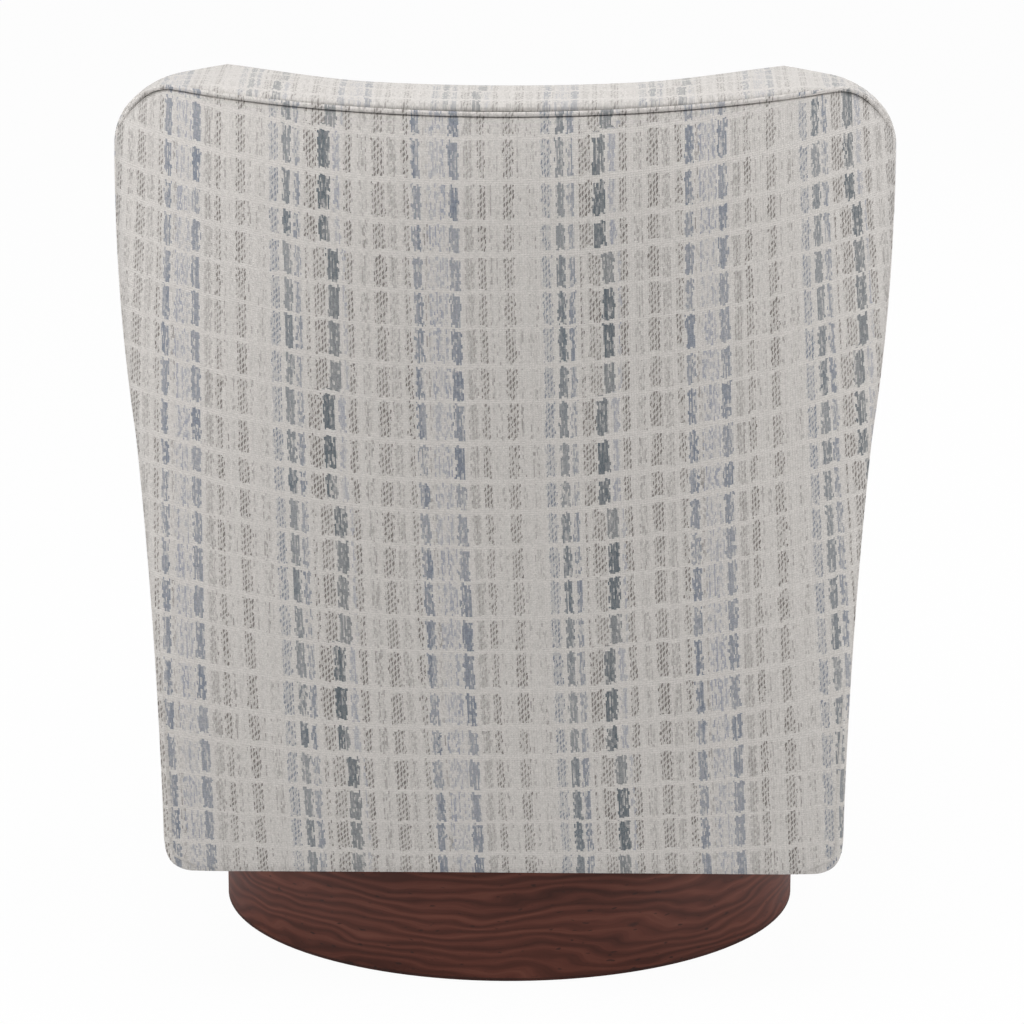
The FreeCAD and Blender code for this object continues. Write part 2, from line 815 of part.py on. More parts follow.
def make_seat_irons():
    web = prism("iron_web", "YZ_Plane", [
        (-iron_half_length, iron_top - iron_thickness - iron_tip),
        (-iron_foot_half, rock_height - iron_drop),
        (iron_foot_half, rock_height - iron_drop),
        (iron_half_length, iron_top - iron_thickness - iron_tip),
        (iron_half_length, iron_top),
        (-iron_half_length, iron_top),
    ], iron_thickness, lift=iron_inside)
    flange = box(
        "iron_flange_plate", iron_inside, iron_inside + iron_flange,
        -iron_half_length, iron_half_length, iron_top - iron_thickness, iron_top)
    bore = bar(
        "iron_bore", shaft_radius + bush_wall + running_gap, 0, far, rock_height)
    holes = []
    for end in (1, -1):
        holes.append(disc(
            f"iron_hole_{end + 1}", bolt_radius + bolt_clearance, bolt_offset,
            cross_rail_offset * end, 0, far))
    iron = cut("iron", fuse("iron_blank", web, flange), bore, group("iron_holes", holes))
    node_pair(iron, "seat_iron")


def make_seat_bolts():
    bolts = []
    nuts = []
    head_bottom = cross_rail_bottom + cross_rail_height
    nut_bottom = iron_top - iron_thickness - bolt_nut
    for number, (side, end) in enumerate(bolt_places()):
        x = bolt_offset * side
        y = cross_rail_offset * end
        shank = disc(f"bolt_shank_{number}", bolt_radius, x, y, nut_bottom - 1, head_bottom)
        head = disc(
            f"bolt_head_{number}", bolt_head_radius, x, y, head_bottom, head_bottom + bolt_head)
        bolts.append(fuse(f"bolt_{number}", shank, head))
        blank = hexagon(
            f"bolt_nut_blank_{number}", bolt_nut_half_flats, x, y,
            nut_bottom, iron_top - iron_thickness)
        thread = disc(f"bolt_thread_{number}", bolt_radius, x, y, 0, far)
        nuts.append(cut(f"bolt_nut_{number}", blank, thread))
    node(group("bolts", bolts), "seat_bolts")
    node(group("bolt_nuts", nuts), "seat_bolt_nuts")


def make_bump_stops():
    rear = disc(
        "rear_bump", bump_radius, 0, cross_rail_offset, saddle_top, saddle_top + rear_bump_height)
    front = disc(
        "front_bump", bump_radius, 0, -cross_rail_offset,
        saddle_top, saddle_top + front_bump_height)
    node(group("bumps", [rear, front]), "bump_stops")


def two_arcs(start, start_way, end, end_way):
    """Two arcs that leave start and reach end along the given directions."""
    span = end - start
    ways = start_way + end_way
    a = ways.dot(ways) - 4
    b = -2 * span.dot(ways)
    c = span.dot(span)
    reach = (-b - math.sqrt(b * b - 4 * a * c)) / (2 * a)
    first_corner = start + start_way * reach
    last_corner = end - end_way * reach
    joint = (first_corner + last_corner) * 0.5
    arcs = []
    for left, corner, right in ((start, first_corner, joint), (joint, last_corner, end)):
        middle = (left + right) * 0.5
        half_chord = (right - left).Length / 2
        rise = corner - middle
        height = half_chord * (reach - half_chord) / rise.Length
        arcs.append(Part.Arc(left, middle + rise * (height / rise.Length), right).toShape())
    return arcs


def tube(path, radius, start, way):
    """A wire's round section carried along its path."""
    ring = Part.Wire(Part.Circle(start, way, radius).toShape())
    shell_maker = Part.BRepOffsetAPI.MakePipeShell(path)
    shell_maker.add(ring)
    shell_maker.build()
    shell_maker.makeSolid()
    return shell_maker.shape()


def coil_spring(x, y):
    """One compression coil between the saddle and a cross rail, in quarter turns."""
    wire_radius = coil_wire.value / 2
    low = saddle_top.value + wire_radius + fit_gap.value / 3
    high = cross_rail_bottom.value - wire_radius - fit_gap.value / 3
    quarters = coil_turns * 4
    rise = (high - low) / quarters
    radius = coil_radius.value
    points = []
    ways = []
    for number in range(quarters + 1):
        angle = number * math.pi / 2
        points.append(FreeCAD.Vector(
            x + radius * math.cos(angle), y + radius * math.sin(angle), low + rise * number))
        way = FreeCAD.Vector(
            -radius * math.sin(angle), radius * math.cos(angle), rise / (math.pi / 2))
        way.normalize()
        ways.append(way)
    edges = []
    for number in range(quarters):
        edges += two_arcs(points[number], ways[number], points[number + 1], ways[number + 1])
    return tube(Part.Wire(edges), wire_radius, points[0], ways[0])


def make_coil_springs():
    coils = []
    for side in (1, -1):
        for end in (1, -1):
            coils.append(coil_spring(coil_offset.value * side, coil_reach.value * end))
    item = doc.addObject("Part::Feature", "coils")
    item.Shape = Part.makeCompound(coils)
    pitch = (cross_rail_bottom.value - saddle_top.value - coil_wire.value) / coil_turns
    print("coil springs: gap between turns", round(pitch - coil_wire.value, 2), "mm")
    node(item, "rocker_springs")


make_shaft()
make_bushes()
make_seat_irons()
make_seat_bolts()
make_bump_stops()
make_coil_springs()


# The seat frame

frame_bottom = hem_height + frame_hem
side_rail_outside = hem_half_width - skin - fit_gap
side_rail_inside = side_rail_outside - board
front_rail_front = body_front - arm_padding - fit_gap
front_rail_back = front_rail_front - front_board
post_outside = side_rail_inside
post_inside = post_outside - post_thickness
top_rail_bottom = lining_top - fit_gap * 2 - board
wire_height = rail_top + spring_clip + seat_wire / 2 + running_gap
deck_bottom = wire_height + seat_wire / 2 + fit_gap
deck_top = deck_bottom + deck_thickness
pad_bottom = deck_top + fit_gap


def make_seat_rails():
    side = box(
        "side_rail_board", side_rail_inside, side_rail_outside,
        -front_rail_front, rear_rail_inside, frame_bottom, rail_top)
    node_pair(common("side_rail", side, lining_inside), "side_rail")
    node(box(
        "front_rail", -side_rail_inside, side_rail_inside,
        -front_rail_front, -front_rail_back, frame_bottom, rail_top), "front_rail")
    rear = box(
        "rear_rail_board", -side_rail_outside, side_rail_outside,
        rear_rail_inside, rear_rail_inside + board * 2, frame_bottom, rail_top)
    node(common("rear_rail", rear, rear_frame, lining_inside), "rear_rail")


def make_cross_rails():
    holes = []
    for number, (side, end) in enumerate(bolt_places()):
        holes.append(disc(
            f"rail_hole_{number}", bolt_radius + bolt_clearance, bolt_offset * side,
            cross_rail_offset * end, 0, far))
    bolt_holes = group("rail_holes", holes)
    half = cross_rail_depth / 2
    rails = (("cross_rail_rear", cross_rail_offset), ("cross_rail_front", -cross_rail_offset))
    for label, middle in rails:
        blank = box(
            f"{label}_blank", -side_rail_inside, side_rail_inside, middle - half, middle + half,
            cross_rail_bottom, cross_rail_bottom + cross_rail_height)
        node(cut(f"{label}_cut", blank, bolt_holes), label)


def make_corner_blocks():
    bottom = rail_top - corner_block_height - spring_clip
    front = prism("front_block", "XY_Plane", [
        (side_rail_inside, -front_rail_back),
        (side_rail_inside, -front_rail_back + corner_block_leg),
        (side_rail_inside - corner_block_leg, -front_rail_back),
    ], corner_block_height, lift=bottom)
    rear = prism("rear_block", "XY_Plane", [
        (post_inside, rear_rail_inside),
        (post_inside - corner_block_leg, rear_rail_inside),
        (post_inside, rear_rail_inside - corner_block_leg),
    ], corner_block_height, lift=bottom)
    blocks = [front, rear, mirror("front_block_mirror", front), mirror("rear_block_mirror", rear)]
    node(group("corner_block_set", blocks), "corner_blocks")


make_seat_rails()
make_cross_rails()
make_corner_blocks()


# The back frame

def make_back_posts():
    blank = box(
        "post_blank", post_inside, post_outside, post_front_depth, rear_rail_inside,
        frame_bottom, top_rail_bottom)
    behind_pad = cut("post_front", blank, frame_face)
    node_pair(common("post", behind_pad, rear_frame), "back_post")


def back_shelf(name, half_length, low, high):
    """A flat board cut to the plan of the hollow back."""
    blank = box(f"{name}_blank", -half_length, half_length, 0, far, low, high)
    return cut(name, common(f"{name}_rear", blank, rear_frame), frame_face)


def make_back_rails():
    node(back_shelf(
        "top_shelf", post_outside, top_rail_bottom, top_rail_bottom + board), "back_top_rail")
    node(back_shelf(
        "mid_shelf", post_inside, mid_rail_height, mid_rail_height + board), "back_mid_rail")
    low = pad_bottom
    blank = box("lower_rail_blank", -post_inside, post_inside, 0, far, low, low + lower_rail_height)
    front = common("lower_rail_front", blank, lower_rail_back)
    node(cut("lower_rail", front, frame_face), "back_lower_rail")


def make_back_ribs():
    """One upright board down the middle of the back, in two lengths."""
    low = back_shelf("low_rib", board / 2, rail_top, mid_rail_height)
    high = back_shelf("high_rib", board / 2, mid_rail_height + board, top_rail_bottom)
    notch_space = box(
        "rib_notch_space", -board, board, 0, far, 0, pad_bottom + lower_rail_height)
    notch = common("rib_notch", notch_space, lower_rail_back)
    node(group("ribs", [cut("low_rib_notched", low, notch), high]), "back_ribs")


make_back_posts()
make_back_rails()
make_back_ribs()


# The arm frames

arm_board_bottom = arm_front_height - arm_padding - fit_gap - board


def make_arm_frames():
    node_pair(box(
        "arm_post", arm_post_inside, side_rail_outside,
        -front_rail_front, -front_rail_front + arm_post_depth, rail_top, arm_board_bottom), "arm_post")
    blank = box(
        "arm_board_blank", arm_post_inside, arm_board_outside,
        -(body_front - arm_front_radius), far, arm_board_bottom, arm_board_bottom + board)
    node_pair(common("arm_board", blank, frame_face), "arm_board")


make_arm_frames()


# Seat springs, deck and dust cover

seat_wire_places = [seat_wire_inner, seat_wire_outer, -seat_wire_inner, -seat_wire_outer]


def sinuous_wire(x):
    """A zigzag seat spring: runs across, joined by half circles."""
    z = wire_height.value
    bend = seat_wire_bend.value
    half = seat_wire_half_width.value - bend
    start = -(front_rail_front.value + front_rail_back.value) / 2
    end = rear_rail_inside.value + board.value / 2
    bends = int((end - start - 2 * bend) / (2 * bend))
    lead = (end - start - 2 * bend * bends) / 2
    point = FreeCAD.Vector(x - half, start, z)
    edges = []
    y = start + lead
    side = -1
    corner = FreeCAD.Vector(x + side * half, y, z)
    edges.append(Part.LineSegment(point, corner).toShape())
    point = corner
    for number in range(bends):
        far_point = FreeCAD.Vector(point.x, point.y + 2 * bend, z)
        outer = FreeCAD.Vector(point.x + side * bend, point.y + bend, z)
        edges.append(Part.Arc(point, outer, far_point).toShape())
        point = far_point
        if number < bends - 1:
            side = -side
            corner = FreeCAD.Vector(x + side * half, point.y, z)
            edges.append(Part.LineSegment(point, corner).toShape())
            point = corner
    last = FreeCAD.Vector(point.x, end, z)
    edges.append(Part.LineSegment(point, last).toShape())
    return edges


def make_seat_springs():
    wires = []
    for place_size in seat_wire_places:
        pieces = []
        for edge in sinuous_wire(place_size.value):
            way = edge.tangentAt(edge.FirstParameter)
            start = edge.valueAt(edge.FirstParameter)
            pieces.append(tube(Part.Wire([edge]), seat_wire.value / 2, start, way))
            pieces.append(Part.makeSphere(seat_wire.value / 2, start))
        wires.append(pieces[0].multiFuse(pieces[2:]))
    item = doc.addObject("Part::Feature", "seat_wires")
    item.Shape = Part.makeCompound(wires)
    node(item, "seat_springs")


def make_spring_clips():
    clips = []
    half = spring_clip_width / 2
    reach = spring_clip_length / 2
    front = -(front_rail_front + front_rail_back) / 2
    rear = rear_rail_inside + board / 2
    shift = -(seat_wire_half_width - seat_wire_bend)
    for number, place_size in enumerate(seat_wire_places):
        for end_number, middle in enumerate((front, rear)):
            clips.append(box(
                f"spring_clip_{number}_{end_number}", place_size + shift - half,
                place_size + shift + half, middle - reach, middle + reach,
                rail_top, rail_top + spring_clip))
    node(group("spring_clip_set", clips), "seat_spring_clips")


def make_deck():
    node(box(
        "deck", -(seat_half_width - fit_gap), seat_half_width - fit_gap,
        -front_rail_front, inner_levels[1][1] + inside_back_thickness,
        deck_bottom, deck_top), "seat_deck")


def make_dust_cover():
    cloth_top = cross_rail_bottom - fit_gap
    sheet_blank = box(
        "cover_blank", -(post_inside - fit_gap), post_inside - fit_gap,
        -(front_rail_back - fit_gap), rear_rail_inside - fit_gap, cloth_top - cloth, cloth_top)
    hole = box(
        "cover_hole", -cover_hole_half, cover_hole_half, -cover_hole_half, cover_hole_half, 0, far)
    node(cut("cover", sheet_blank, hole), "dust_cover")


make_seat_springs()
make_spring_clips()
make_deck()
make_dust_cover()


# Upholstery

def make_outside_back():
    layer = cut("rear_layer", rear_outer, rear_inner)
    node(common("back_panel", layer, panel_seam), "outside_back")
    cord_layer = cut("welt_layer", rear_proud, rear_sunk)
    edge = common("welt_edge", cord_layer, panel_edge)
    ring = cut("welt_ring", edge, panel_seam)
    hem = box("welt_hem", -far, far, 0, far, 0, hem_height + hem_corner_radius)
    node(cut("welt", ring, hem), "back_welt")


def make_boxing():
    """The layer that wraps the top and both sides, split at the band's side seams."""
    outside = common("boxing_outside", side_outer, shell, rear_frame, crown)
    layer = cut("boxing_layer", outside, lining)
    seat_space = common("seat_space", inner_face, well)
    above = box("above_seam", -far, far, -far, far, band_seam_height, 2 * far)
    node(cut("band", common("band_layer", layer, above), seat_space), "back_band")
    below = box(
        "below_seam", seat_half_width, far, -far, far, 0, band_seam_height - fit_gap)
    hollow = box("under_hem", -far, far, -far, far, 0, hem_height)
    node_pair(cut("side_panel", common("side_panel_layer", layer, below), hollow), "outside_arm")


def make_arm_pads():
    """Inner arm, arm top and arm front in one cover, which stops at the back post."""
    reach = box("arm_reach", 0, far, -far, wing_back_depth, hem_height, 2 * far)
    outside = common("arm_outside", side_outer, lining_inside, arm_outer_zone, reach)
    hollow = common("arm_hollow", side_cavity, arm_cavity_zone)
    frame_space = box(
        "frame_space", 0, side_rail_outside + fit_gap, -(front_rail_front + fit_gap), far,
        0, rail_top + fit_gap)
    post_side = box("post_side", 0, post_outside + fit_gap, -far, far, 0, 2 * far)
    post_space = cut("post_space", post_side, pad_back)
    node_pair(cut("arm_cover", outside, hollow, frame_space, post_space), "arm_pad")


def make_inside_back():
    blank = box(
        "inside_back_blank", -far, far, 0, far, pad_bottom, lining_top - fit_gap)
    space = common("inside_back_space", blank, well, pad_back)
    node(cut("inside_back_pad", space, inner_face), "inside_back")


def make_front_border():
    half = seat_half_width - fit_gap
    node(box(
        "border", -half, half, -body_front, -(front_rail_front + fit_gap),
        hem_height, deck_top), "front_border")


def make_seat_cushion():
    """A loose box cushion: sides drawn in between round corners, under a domed top."""
    half = seat_half_width - cushion_side_gap
    front = -(body_front - cushion_front_lap)
    back = front + cushion_depth
    bottom = deck_top + fit_gap
    crest = bottom + cushion_thickness
    corner = cushion_corner
    edge = cushion_edge
    bend = cushion_side_radius
    plan = prism("cushion_plan", "XY_Plane", [
        (-(half - corner), front, bend, -1),
        (half - corner, front, corner, 1),
        (half, front + corner, bend, -1),
        (half, back - corner, corner, 1),
        (half - corner, back, bend, -1),
        (-(half - corner), back, corner, 1),
        (-half, back - corner, bend, -1),
        (-half, front + corner, corner, 1),
    ], cushion_thickness, lift=bottom)
    across = prism("cushion_across", "XZ_Plane", [
        (-(half - edge), bottom),
        (half - edge, bottom, edge, 1),
        (half, bottom + edge),
        (half, crest),
        (-half, crest),
        (-half, bottom + edge, edge, 1),
    ], 2 * far, both_ways=True)
    along = prism("cushion_along", "YZ_Plane", [
        (front + edge, bottom),
        (back - edge, bottom, edge, 1),
        (back, bottom + edge),
        (back, crest),
        (front, crest),
        (front, bottom + edge, edge, 1),
    ], 2 * far, both_ways=True)
    dome = doc.addObject("Part::Sphere", "cushion_dome")
    bind(dome, "Radius", cushion_dome_radius)
    place(dome, 0, (front + back) / 2, crest - cushion_dome_radius)
    node(common("cushion", plan, across, along, dome), "seat_cushion")


make_outside_back()
make_boxing()
make_arm_pads()
make_inside_back()
make_front_border()
make_seat_cushion()


# Build, test and write every piece

doc.recompute()
faults = []
for item in doc.Objects:
    if "Invalid" in item.State or "Error" in item.State:
        faults.append(f"{item.Name}: {item.State}")
for item in nodes:
    if item.Shape.isNull() or not item.Shape.isValid() or not item.Shape.Solids:
        faults.append(f"{item.Label}: no valid solid")
if faults:
    raise RuntimeError("; ".join(faults))
for item in nodes:
    item.Shape.exportStep(f"parts/{item.Label}.step")
    print(item.Label, len(item.Shape.Solids), "solid(s)", round(item.Shape.Volume / 1000), "cm3")
print(len(nodes), "nodes")
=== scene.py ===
# %% [markdown]
# # Dressing a swivel rocker
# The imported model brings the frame, the swivel and plain solids for the upholstery.
# This file gives each covered part its cloth and each bare part its finish, around
# that fixed frame. Everything is in metres, with +Z up and the seat facing -Y.

# %% Load the frame
import json
import math

import bmesh
import bpy
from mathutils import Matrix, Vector, bvhtree, noise


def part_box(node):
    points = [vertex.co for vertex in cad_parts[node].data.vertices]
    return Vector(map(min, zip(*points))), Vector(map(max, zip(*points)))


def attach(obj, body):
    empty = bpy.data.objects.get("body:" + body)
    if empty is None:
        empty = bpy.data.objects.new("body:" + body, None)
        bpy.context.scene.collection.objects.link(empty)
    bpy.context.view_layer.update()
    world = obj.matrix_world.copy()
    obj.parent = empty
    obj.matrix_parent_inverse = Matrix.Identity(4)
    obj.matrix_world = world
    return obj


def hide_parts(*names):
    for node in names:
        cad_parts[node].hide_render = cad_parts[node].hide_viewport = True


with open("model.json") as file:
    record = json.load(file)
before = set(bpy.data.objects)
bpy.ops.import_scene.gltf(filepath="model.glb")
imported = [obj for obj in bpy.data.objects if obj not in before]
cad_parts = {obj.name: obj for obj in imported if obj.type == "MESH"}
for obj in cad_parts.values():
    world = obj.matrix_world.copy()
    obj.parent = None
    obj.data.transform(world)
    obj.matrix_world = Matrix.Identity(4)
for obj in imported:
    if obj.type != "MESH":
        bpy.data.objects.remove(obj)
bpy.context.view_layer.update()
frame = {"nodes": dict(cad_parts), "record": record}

# %% [markdown]
# ## Camera
# The picture was taken from behind with a long lens, looking a little down. A long
# lens flattens the perspective, so the focal length is set from the drum: its two
# ellipses say how far away the camera stood. A small turn to one side puts the back
# panel left of the drum's middle, as the photograph has it.

# %% Camera
camera_place = Vector((-0.0971, 5.245, 1.794))
camera_pitch = math.radians(14.653)
camera_turn = math.radians(1.031)
focal_pixels = 5084
sensor_width = 36.0
image_pixels = 1024

camera_data = bpy.data.cameras.new("camera")
camera_data.sensor_width = sensor_width
camera_data.lens = focal_pixels * sensor_width / image_pixels
camera_data.clip_end = 60
camera = bpy.data.objects.new("camera", camera_data)
camera.location = camera_place
camera.rotation_euler = (math.pi / 2 - camera_pitch, 0, math.pi + camera_turn)
bpy.context.scene.collection.objects.link(camera)
bpy.context.scene.camera = camera
bpy.context.scene.view_settings.view_transform = "Standard"
print("lens", round(camera_data.lens, 1), "mm")

# %% [markdown]
# ## Light
# A studio packshot has one broad light overhead and a pale surround. The world gives
# the surround, and is plain white only where the camera or a gloss sees it directly.
# Large area lamps keep the shadows soft, and their level is plain: a pale cloth
# renders about as its colour is written.

# %% World and lamps
def add_node(tree, kind, **settings):
    """A shader node with its settings made."""
    made = tree.nodes.new(kind)
    for name, value in settings.items():
        setattr(made, name, value)
    return made


def join(tree, links):
    """Links pairs of sockets, each an output and an input."""
    for start, end in links:
        tree.links.new(start, end)


world_level = 0.40
world = bpy.data.worlds.new("studio")
bpy.context.scene.world = world
world.use_nodes = True
world_tree = world.node_tree
world_tree.nodes.clear()
surround = add_node(world_tree, "ShaderNodeBackground")
surround.inputs["Color"].default_value = (1, 1, 1, 1)
surround.inputs["Strength"].default_value = world_level
plain_white = add_node(world_tree, "ShaderNodeBackground")
plain_white.inputs["Color"].default_value = (1, 1, 1, 1)
path = add_node(world_tree, "ShaderNodeLightPath")
seen = add_node(world_tree, "ShaderNodeMath", operation="MAXIMUM")
glossy = add_node(world_tree, "ShaderNodeMath", operation="MAXIMUM")
choose = add_node(world_tree, "ShaderNodeMixShader")
world_out = add_node(world_tree, "ShaderNodeOutputWorld")
join(world_tree, (
    (path.outputs["Is Glossy Ray"], glossy.inputs[0]),
    (path.outputs["Is Transmission Ray"], glossy.inputs[1]),
    (path.outputs["Is Camera Ray"], seen.inputs[0]),
    (glossy.outputs[0], seen.inputs[1]),
    (seen.outputs[0], choose.inputs["Fac"]),
    (surround.outputs[0], choose.inputs[1]),
    (plain_white.outputs[0], choose.inputs[2]),
    (choose.outputs[0], world_out.inputs["Surface"])))


def add_lamp(name, place, target, size, watts):
    """A square area lamp that faces a point."""
    data = bpy.data.lights.new(name, "AREA")
    data.size = size
    data.energy = watts
    lamp = bpy.data.objects.new(name, data)
    lamp.location = place
    lamp.rotation_euler = (Vector(place) - Vector(target)).to_track_quat("Z", "Y").to_euler()
    bpy.context.scene.collection.objects.link(lamp)


chair_middle = (0, 0, 0.5)
add_lamp("overhead", (0.2, 0.9, 3.1), chair_middle, 2.4, 58)
add_lamp("overhead_behind", (0.2, 1.6, 2.5), chair_middle, 1.8, 4)
add_lamp("behind_left", (2.9, 1.0, 0.6), chair_middle, 1.6, 37)
add_lamp("behind_right", (-2.8, 0.9, 0.45), chair_middle, 1.6, 38)
add_lamp("front_fill", (-1.8, -3.0, 2.2), chair_middle, 2.4, 40)
print("world level", world_level)

# %% [markdown]
# ## Floor
# The photograph has no visible ground, only white. The floor is a pale plane: part of
# what the camera sees of it is plain white, and the rest keeps the chair's shadow.

# %% Floor
floor_half = 12.0
floor_white_share = 0.97
floor_grey = 0.8


def mesh_from(shape, name):
    """The finished mesh of a bmesh."""
    mesh = bpy.data.meshes.new(name)
    shape.to_mesh(mesh)
    shape.free()
    return mesh


floor_shape = bmesh.new()
bmesh.ops.create_grid(floor_shape, x_segments=1, y_segments=1, size=floor_half)
floor_mesh = mesh_from(floor_shape, "floor")
floor = bpy.data.objects.new("floor", floor_mesh)
bpy.context.scene.collection.objects.link(floor)
floor_paint = bpy.data.materials.new("floor_paint")
floor_paint.use_nodes = True
floor_tree = floor_paint.node_tree
floor_base = floor_tree.nodes["Principled BSDF"]
floor_base.inputs["Base Color"].default_value = (floor_grey, floor_grey, floor_grey, 1)
floor_base.inputs["Roughness"].default_value = 0.9
floor_base.inputs["Specular IOR Level"].default_value = 0.0
floor_glow = add_node(floor_tree, "ShaderNodeEmission")
floor_path = add_node(floor_tree, "ShaderNodeLightPath")
floor_share = add_node(floor_tree, "ShaderNodeMath", operation="MULTIPLY")
floor_share.inputs[1].default_value = floor_white_share
floor_mix = add_node(floor_tree, "ShaderNodeMixShader")
join(floor_tree, (
    (floor_path.outputs["Is Camera Ray"], floor_share.inputs[0]),
    (floor_share.outputs[0], floor_mix.inputs["Fac"]),
    (floor_base.outputs[0], floor_mix.inputs[1]),
    (floor_glow.outputs[0], floor_mix.inputs[2]),
    (floor_mix.outputs[0], floor_tree.nodes["Material Output"].inputs["Surface"])))
floor_mesh.materials.append(floor_paint)

# %% [markdown]
# ## The chair's forms
# The body is bounded by a few curves: its outline seen from behind, its outline seen
# from the side, a bowed rear face and a bowed inner face. Each cover is stretched
# over these, so they are written once, as functions of a place on the chair, and
# every cover below asks them where it goes.

# %% Outline seen from behind
hem_height = 0.141
hem_half_width = 0.3436
hem_corner = 0.026
waist = Vector((0.3668, 0.584))
shoulder = Vector((0.3876, 0.871))
top_corner = 0.062
corner_middle = Vector((shoulder.x - top_corner, shoulder.y))
top_height = shoulder.y + top_corner
crest_height = 0.9455
crest_half_length = 0.240
welt_edge_radius = 7.57


def keep_inside(value, low, high):
    """A value, held between two others."""
    return min(max(value, low), high)


def smooth_step(low, high, value):
    """0 below low, 1 above high, and a soft rise between."""
    share = keep_inside((value - low) / (high - low), 0, 1)
    return share * share * (3 - 2 * share)


def arc_centre(start, end, radius):
    """Centre of the arc between two points; a radius under 0 puts it on the other side."""
    chord = end - start
    reach = math.sqrt(radius ** 2 - (chord.length / 2) ** 2)
    return (start + end) / 2 + Vector((-chord.y, chord.x)).normalized() * math.copysign(reach, radius)


def arc_between(start, end, radius):
    """Function of height for the arc between two (side, height) points; a radius under 0 is hollow."""
    centre = arc_centre(start, end, radius)
    swell = math.copysign(1, radius)
    return lambda height: centre.x + swell * math.sqrt(radius ** 2 - (height - centre.y) ** 2)


hem_end = Vector((hem_half_width, hem_height + hem_corner))
lower_side = arc_between(hem_end, waist, -4.76)
upper_side = arc_between(waist, shoulder, 1.90)


def side_at(height, inset=0.0):
    """Half width of the body at a height, drawn in by inset."""
    if height < hem_end.y:
        drop = min(hem_end.y - height, hem_corner)
        return hem_half_width - inset - hem_corner + math.sqrt(hem_corner ** 2 - drop ** 2)
    if height < waist.y:
        return lower_side(height) - inset
    if height < shoulder.y:
        return upper_side(height) - inset
    corner = top_corner - inset
    rise = min(height - shoulder.y, corner)
    return corner_middle.x + math.sqrt(corner ** 2 - rise ** 2)


def panel_dip(x):
    """How far the rear panel's top edge lies below its corners."""
    return (corner_middle.x ** 2 - min(abs(x), corner_middle.x) ** 2) / (2 * welt_edge_radius)


def crest_at(x):
    """Height of the outline above the corners."""
    share = (abs(x) - crest_half_length) / (corner_middle.x - crest_half_length)
    return crest_height - (crest_height - top_height) * keep_inside(share, 0, 1)


print("half widths", [round(side_at(height), 4) for height in (0.2, 0.5, 0.8, 0.92)])

# %% Bowed faces
rear_levels = [
    (0.120, 0.359, 12.0), (0.300, 0.378, 2.6), (0.500, 0.4005, 1.04),
    (0.700, 0.418, 0.70), (0.850, 0.425, 0.58), (0.960, 0.425, 0.544)]
rear_half_span = 0.430
inner_levels = [
    (0.100, 0.096, 3.6), (0.300, 0.126, 3.0), (0.480, 0.163, 1.57), (0.700, 0.222, 0.652),
    (0.850, 0.264, 0.469), (0.935, 0.290, 0.409), (1.000, 0.304, 0.400)]
inner_half_span = 0.335
top_roll = 0.012
side_roll = 0.002
top_roll_reach = 0.105
side_roll_reach = 0.04
dip_start = 0.70


def through(stations, place):
    """Value at a place on the smooth curve through (place, value) stations."""
    last = len(stations) - 2
    index = sum(1 for station in stations if station[0] <= place) - 1
    index = keep_inside(index, 0, last)
    start, end = stations[index], stations[index + 1]
    before = stations[max(index - 1, 0)]
    after = stations[min(index + 2, last + 1)]
    gap = end[0] - start[0]
    share = (place - start[0]) / gap
    leave = (end[1] - before[1]) / (end[0] - before[0]) * gap
    arrive = (after[1] - start[1]) / (after[0] - start[0]) * gap
    rise = end[1] - start[1]
    curve = (leave + arrive - 2 * rise) * share + (3 * rise - 2 * leave - arrive)
    return start[1] + leave * share + curve * share ** 2


def bow_table(levels, half_span):
    """Depth and sagitta stations of a bowed face."""
    depths = [(height, depth) for height, depth, radius in levels]
    sags = [(height, radius - math.sqrt(radius ** 2 - half_span ** 2))
            for height, depth, radius in levels]
    return depths, sags, half_span


rear_table = bow_table(rear_levels, rear_half_span)
inner_table = bow_table(inner_levels, inner_half_span)


def bow_radius(table, height):
    """Radius of a bowed face at a height."""
    depths, sags, half_span = table
    sag = through(sags, height)
    return (half_span ** 2 + sag ** 2) / (2 * sag)


def bowed(table, x, height):
    """Y of a bowed face."""
    radius = bow_radius(table, height)
    return through(table[0], height) - radius + math.sqrt(radius ** 2 - x ** 2)


def rear_face(x, height):
    """Y of the rear face, which rolls forwards a little near its top and side edges."""
    y = bowed(rear_table, x, height)
    down = top_height - height - panel_dip(x) * smooth_step(dip_start, top_height, height)
    across = side_at(min(height, shoulder.y)) - abs(x)
    y -= top_roll * max(1 - down / top_roll_reach, 0) ** 2
    return y - side_roll * max(1 - across / side_roll_reach, 0) ** 2


print("rear face at the middle and the side", [round(rear_face(x, 0.85), 3) for x in (0, 0.38)])

# %% Crown, arm line and seat well
turn_middle = -0.119
crown_outer = Vector((0.544, 0.930))
crown_inner = Vector((0.409, 0.935))
crown_radius = 0.182
crown_middle = arc_centre(crown_outer, crown_inner, crown_radius)
body_front = -0.424
wing_front = 0.178
well_foot = 0.262
well_flare = 0.018
well_start = 0.300
seat_level = 0.322
arm_front_straight = 0.564
arm_front_round = 0.040
swoop_foot = Vector((-0.030, 0.626))
swoop_head = Vector((0.160, 0.790))
swoop_radius = 0.2235
wing_top = 0.900


def crown_at(x, y):
    """Height of the rounded top of the back."""
    away = math.hypot(x, y - turn_middle) - crown_middle.x
    return crown_middle.y + math.sqrt(max(crown_radius ** 2 - away ** 2, 0))


def well_at(height):
    """Half width between the arms."""
    return well_foot + well_flare * keep_inside((height - well_start) / 0.7, 0, 1)


def inner_circle(x):
    """Y of the band's inner edge on top."""
    return max(turn_middle + math.sqrt(max(crown_inner.x ** 2 - x ** 2, 0)), wing_front)


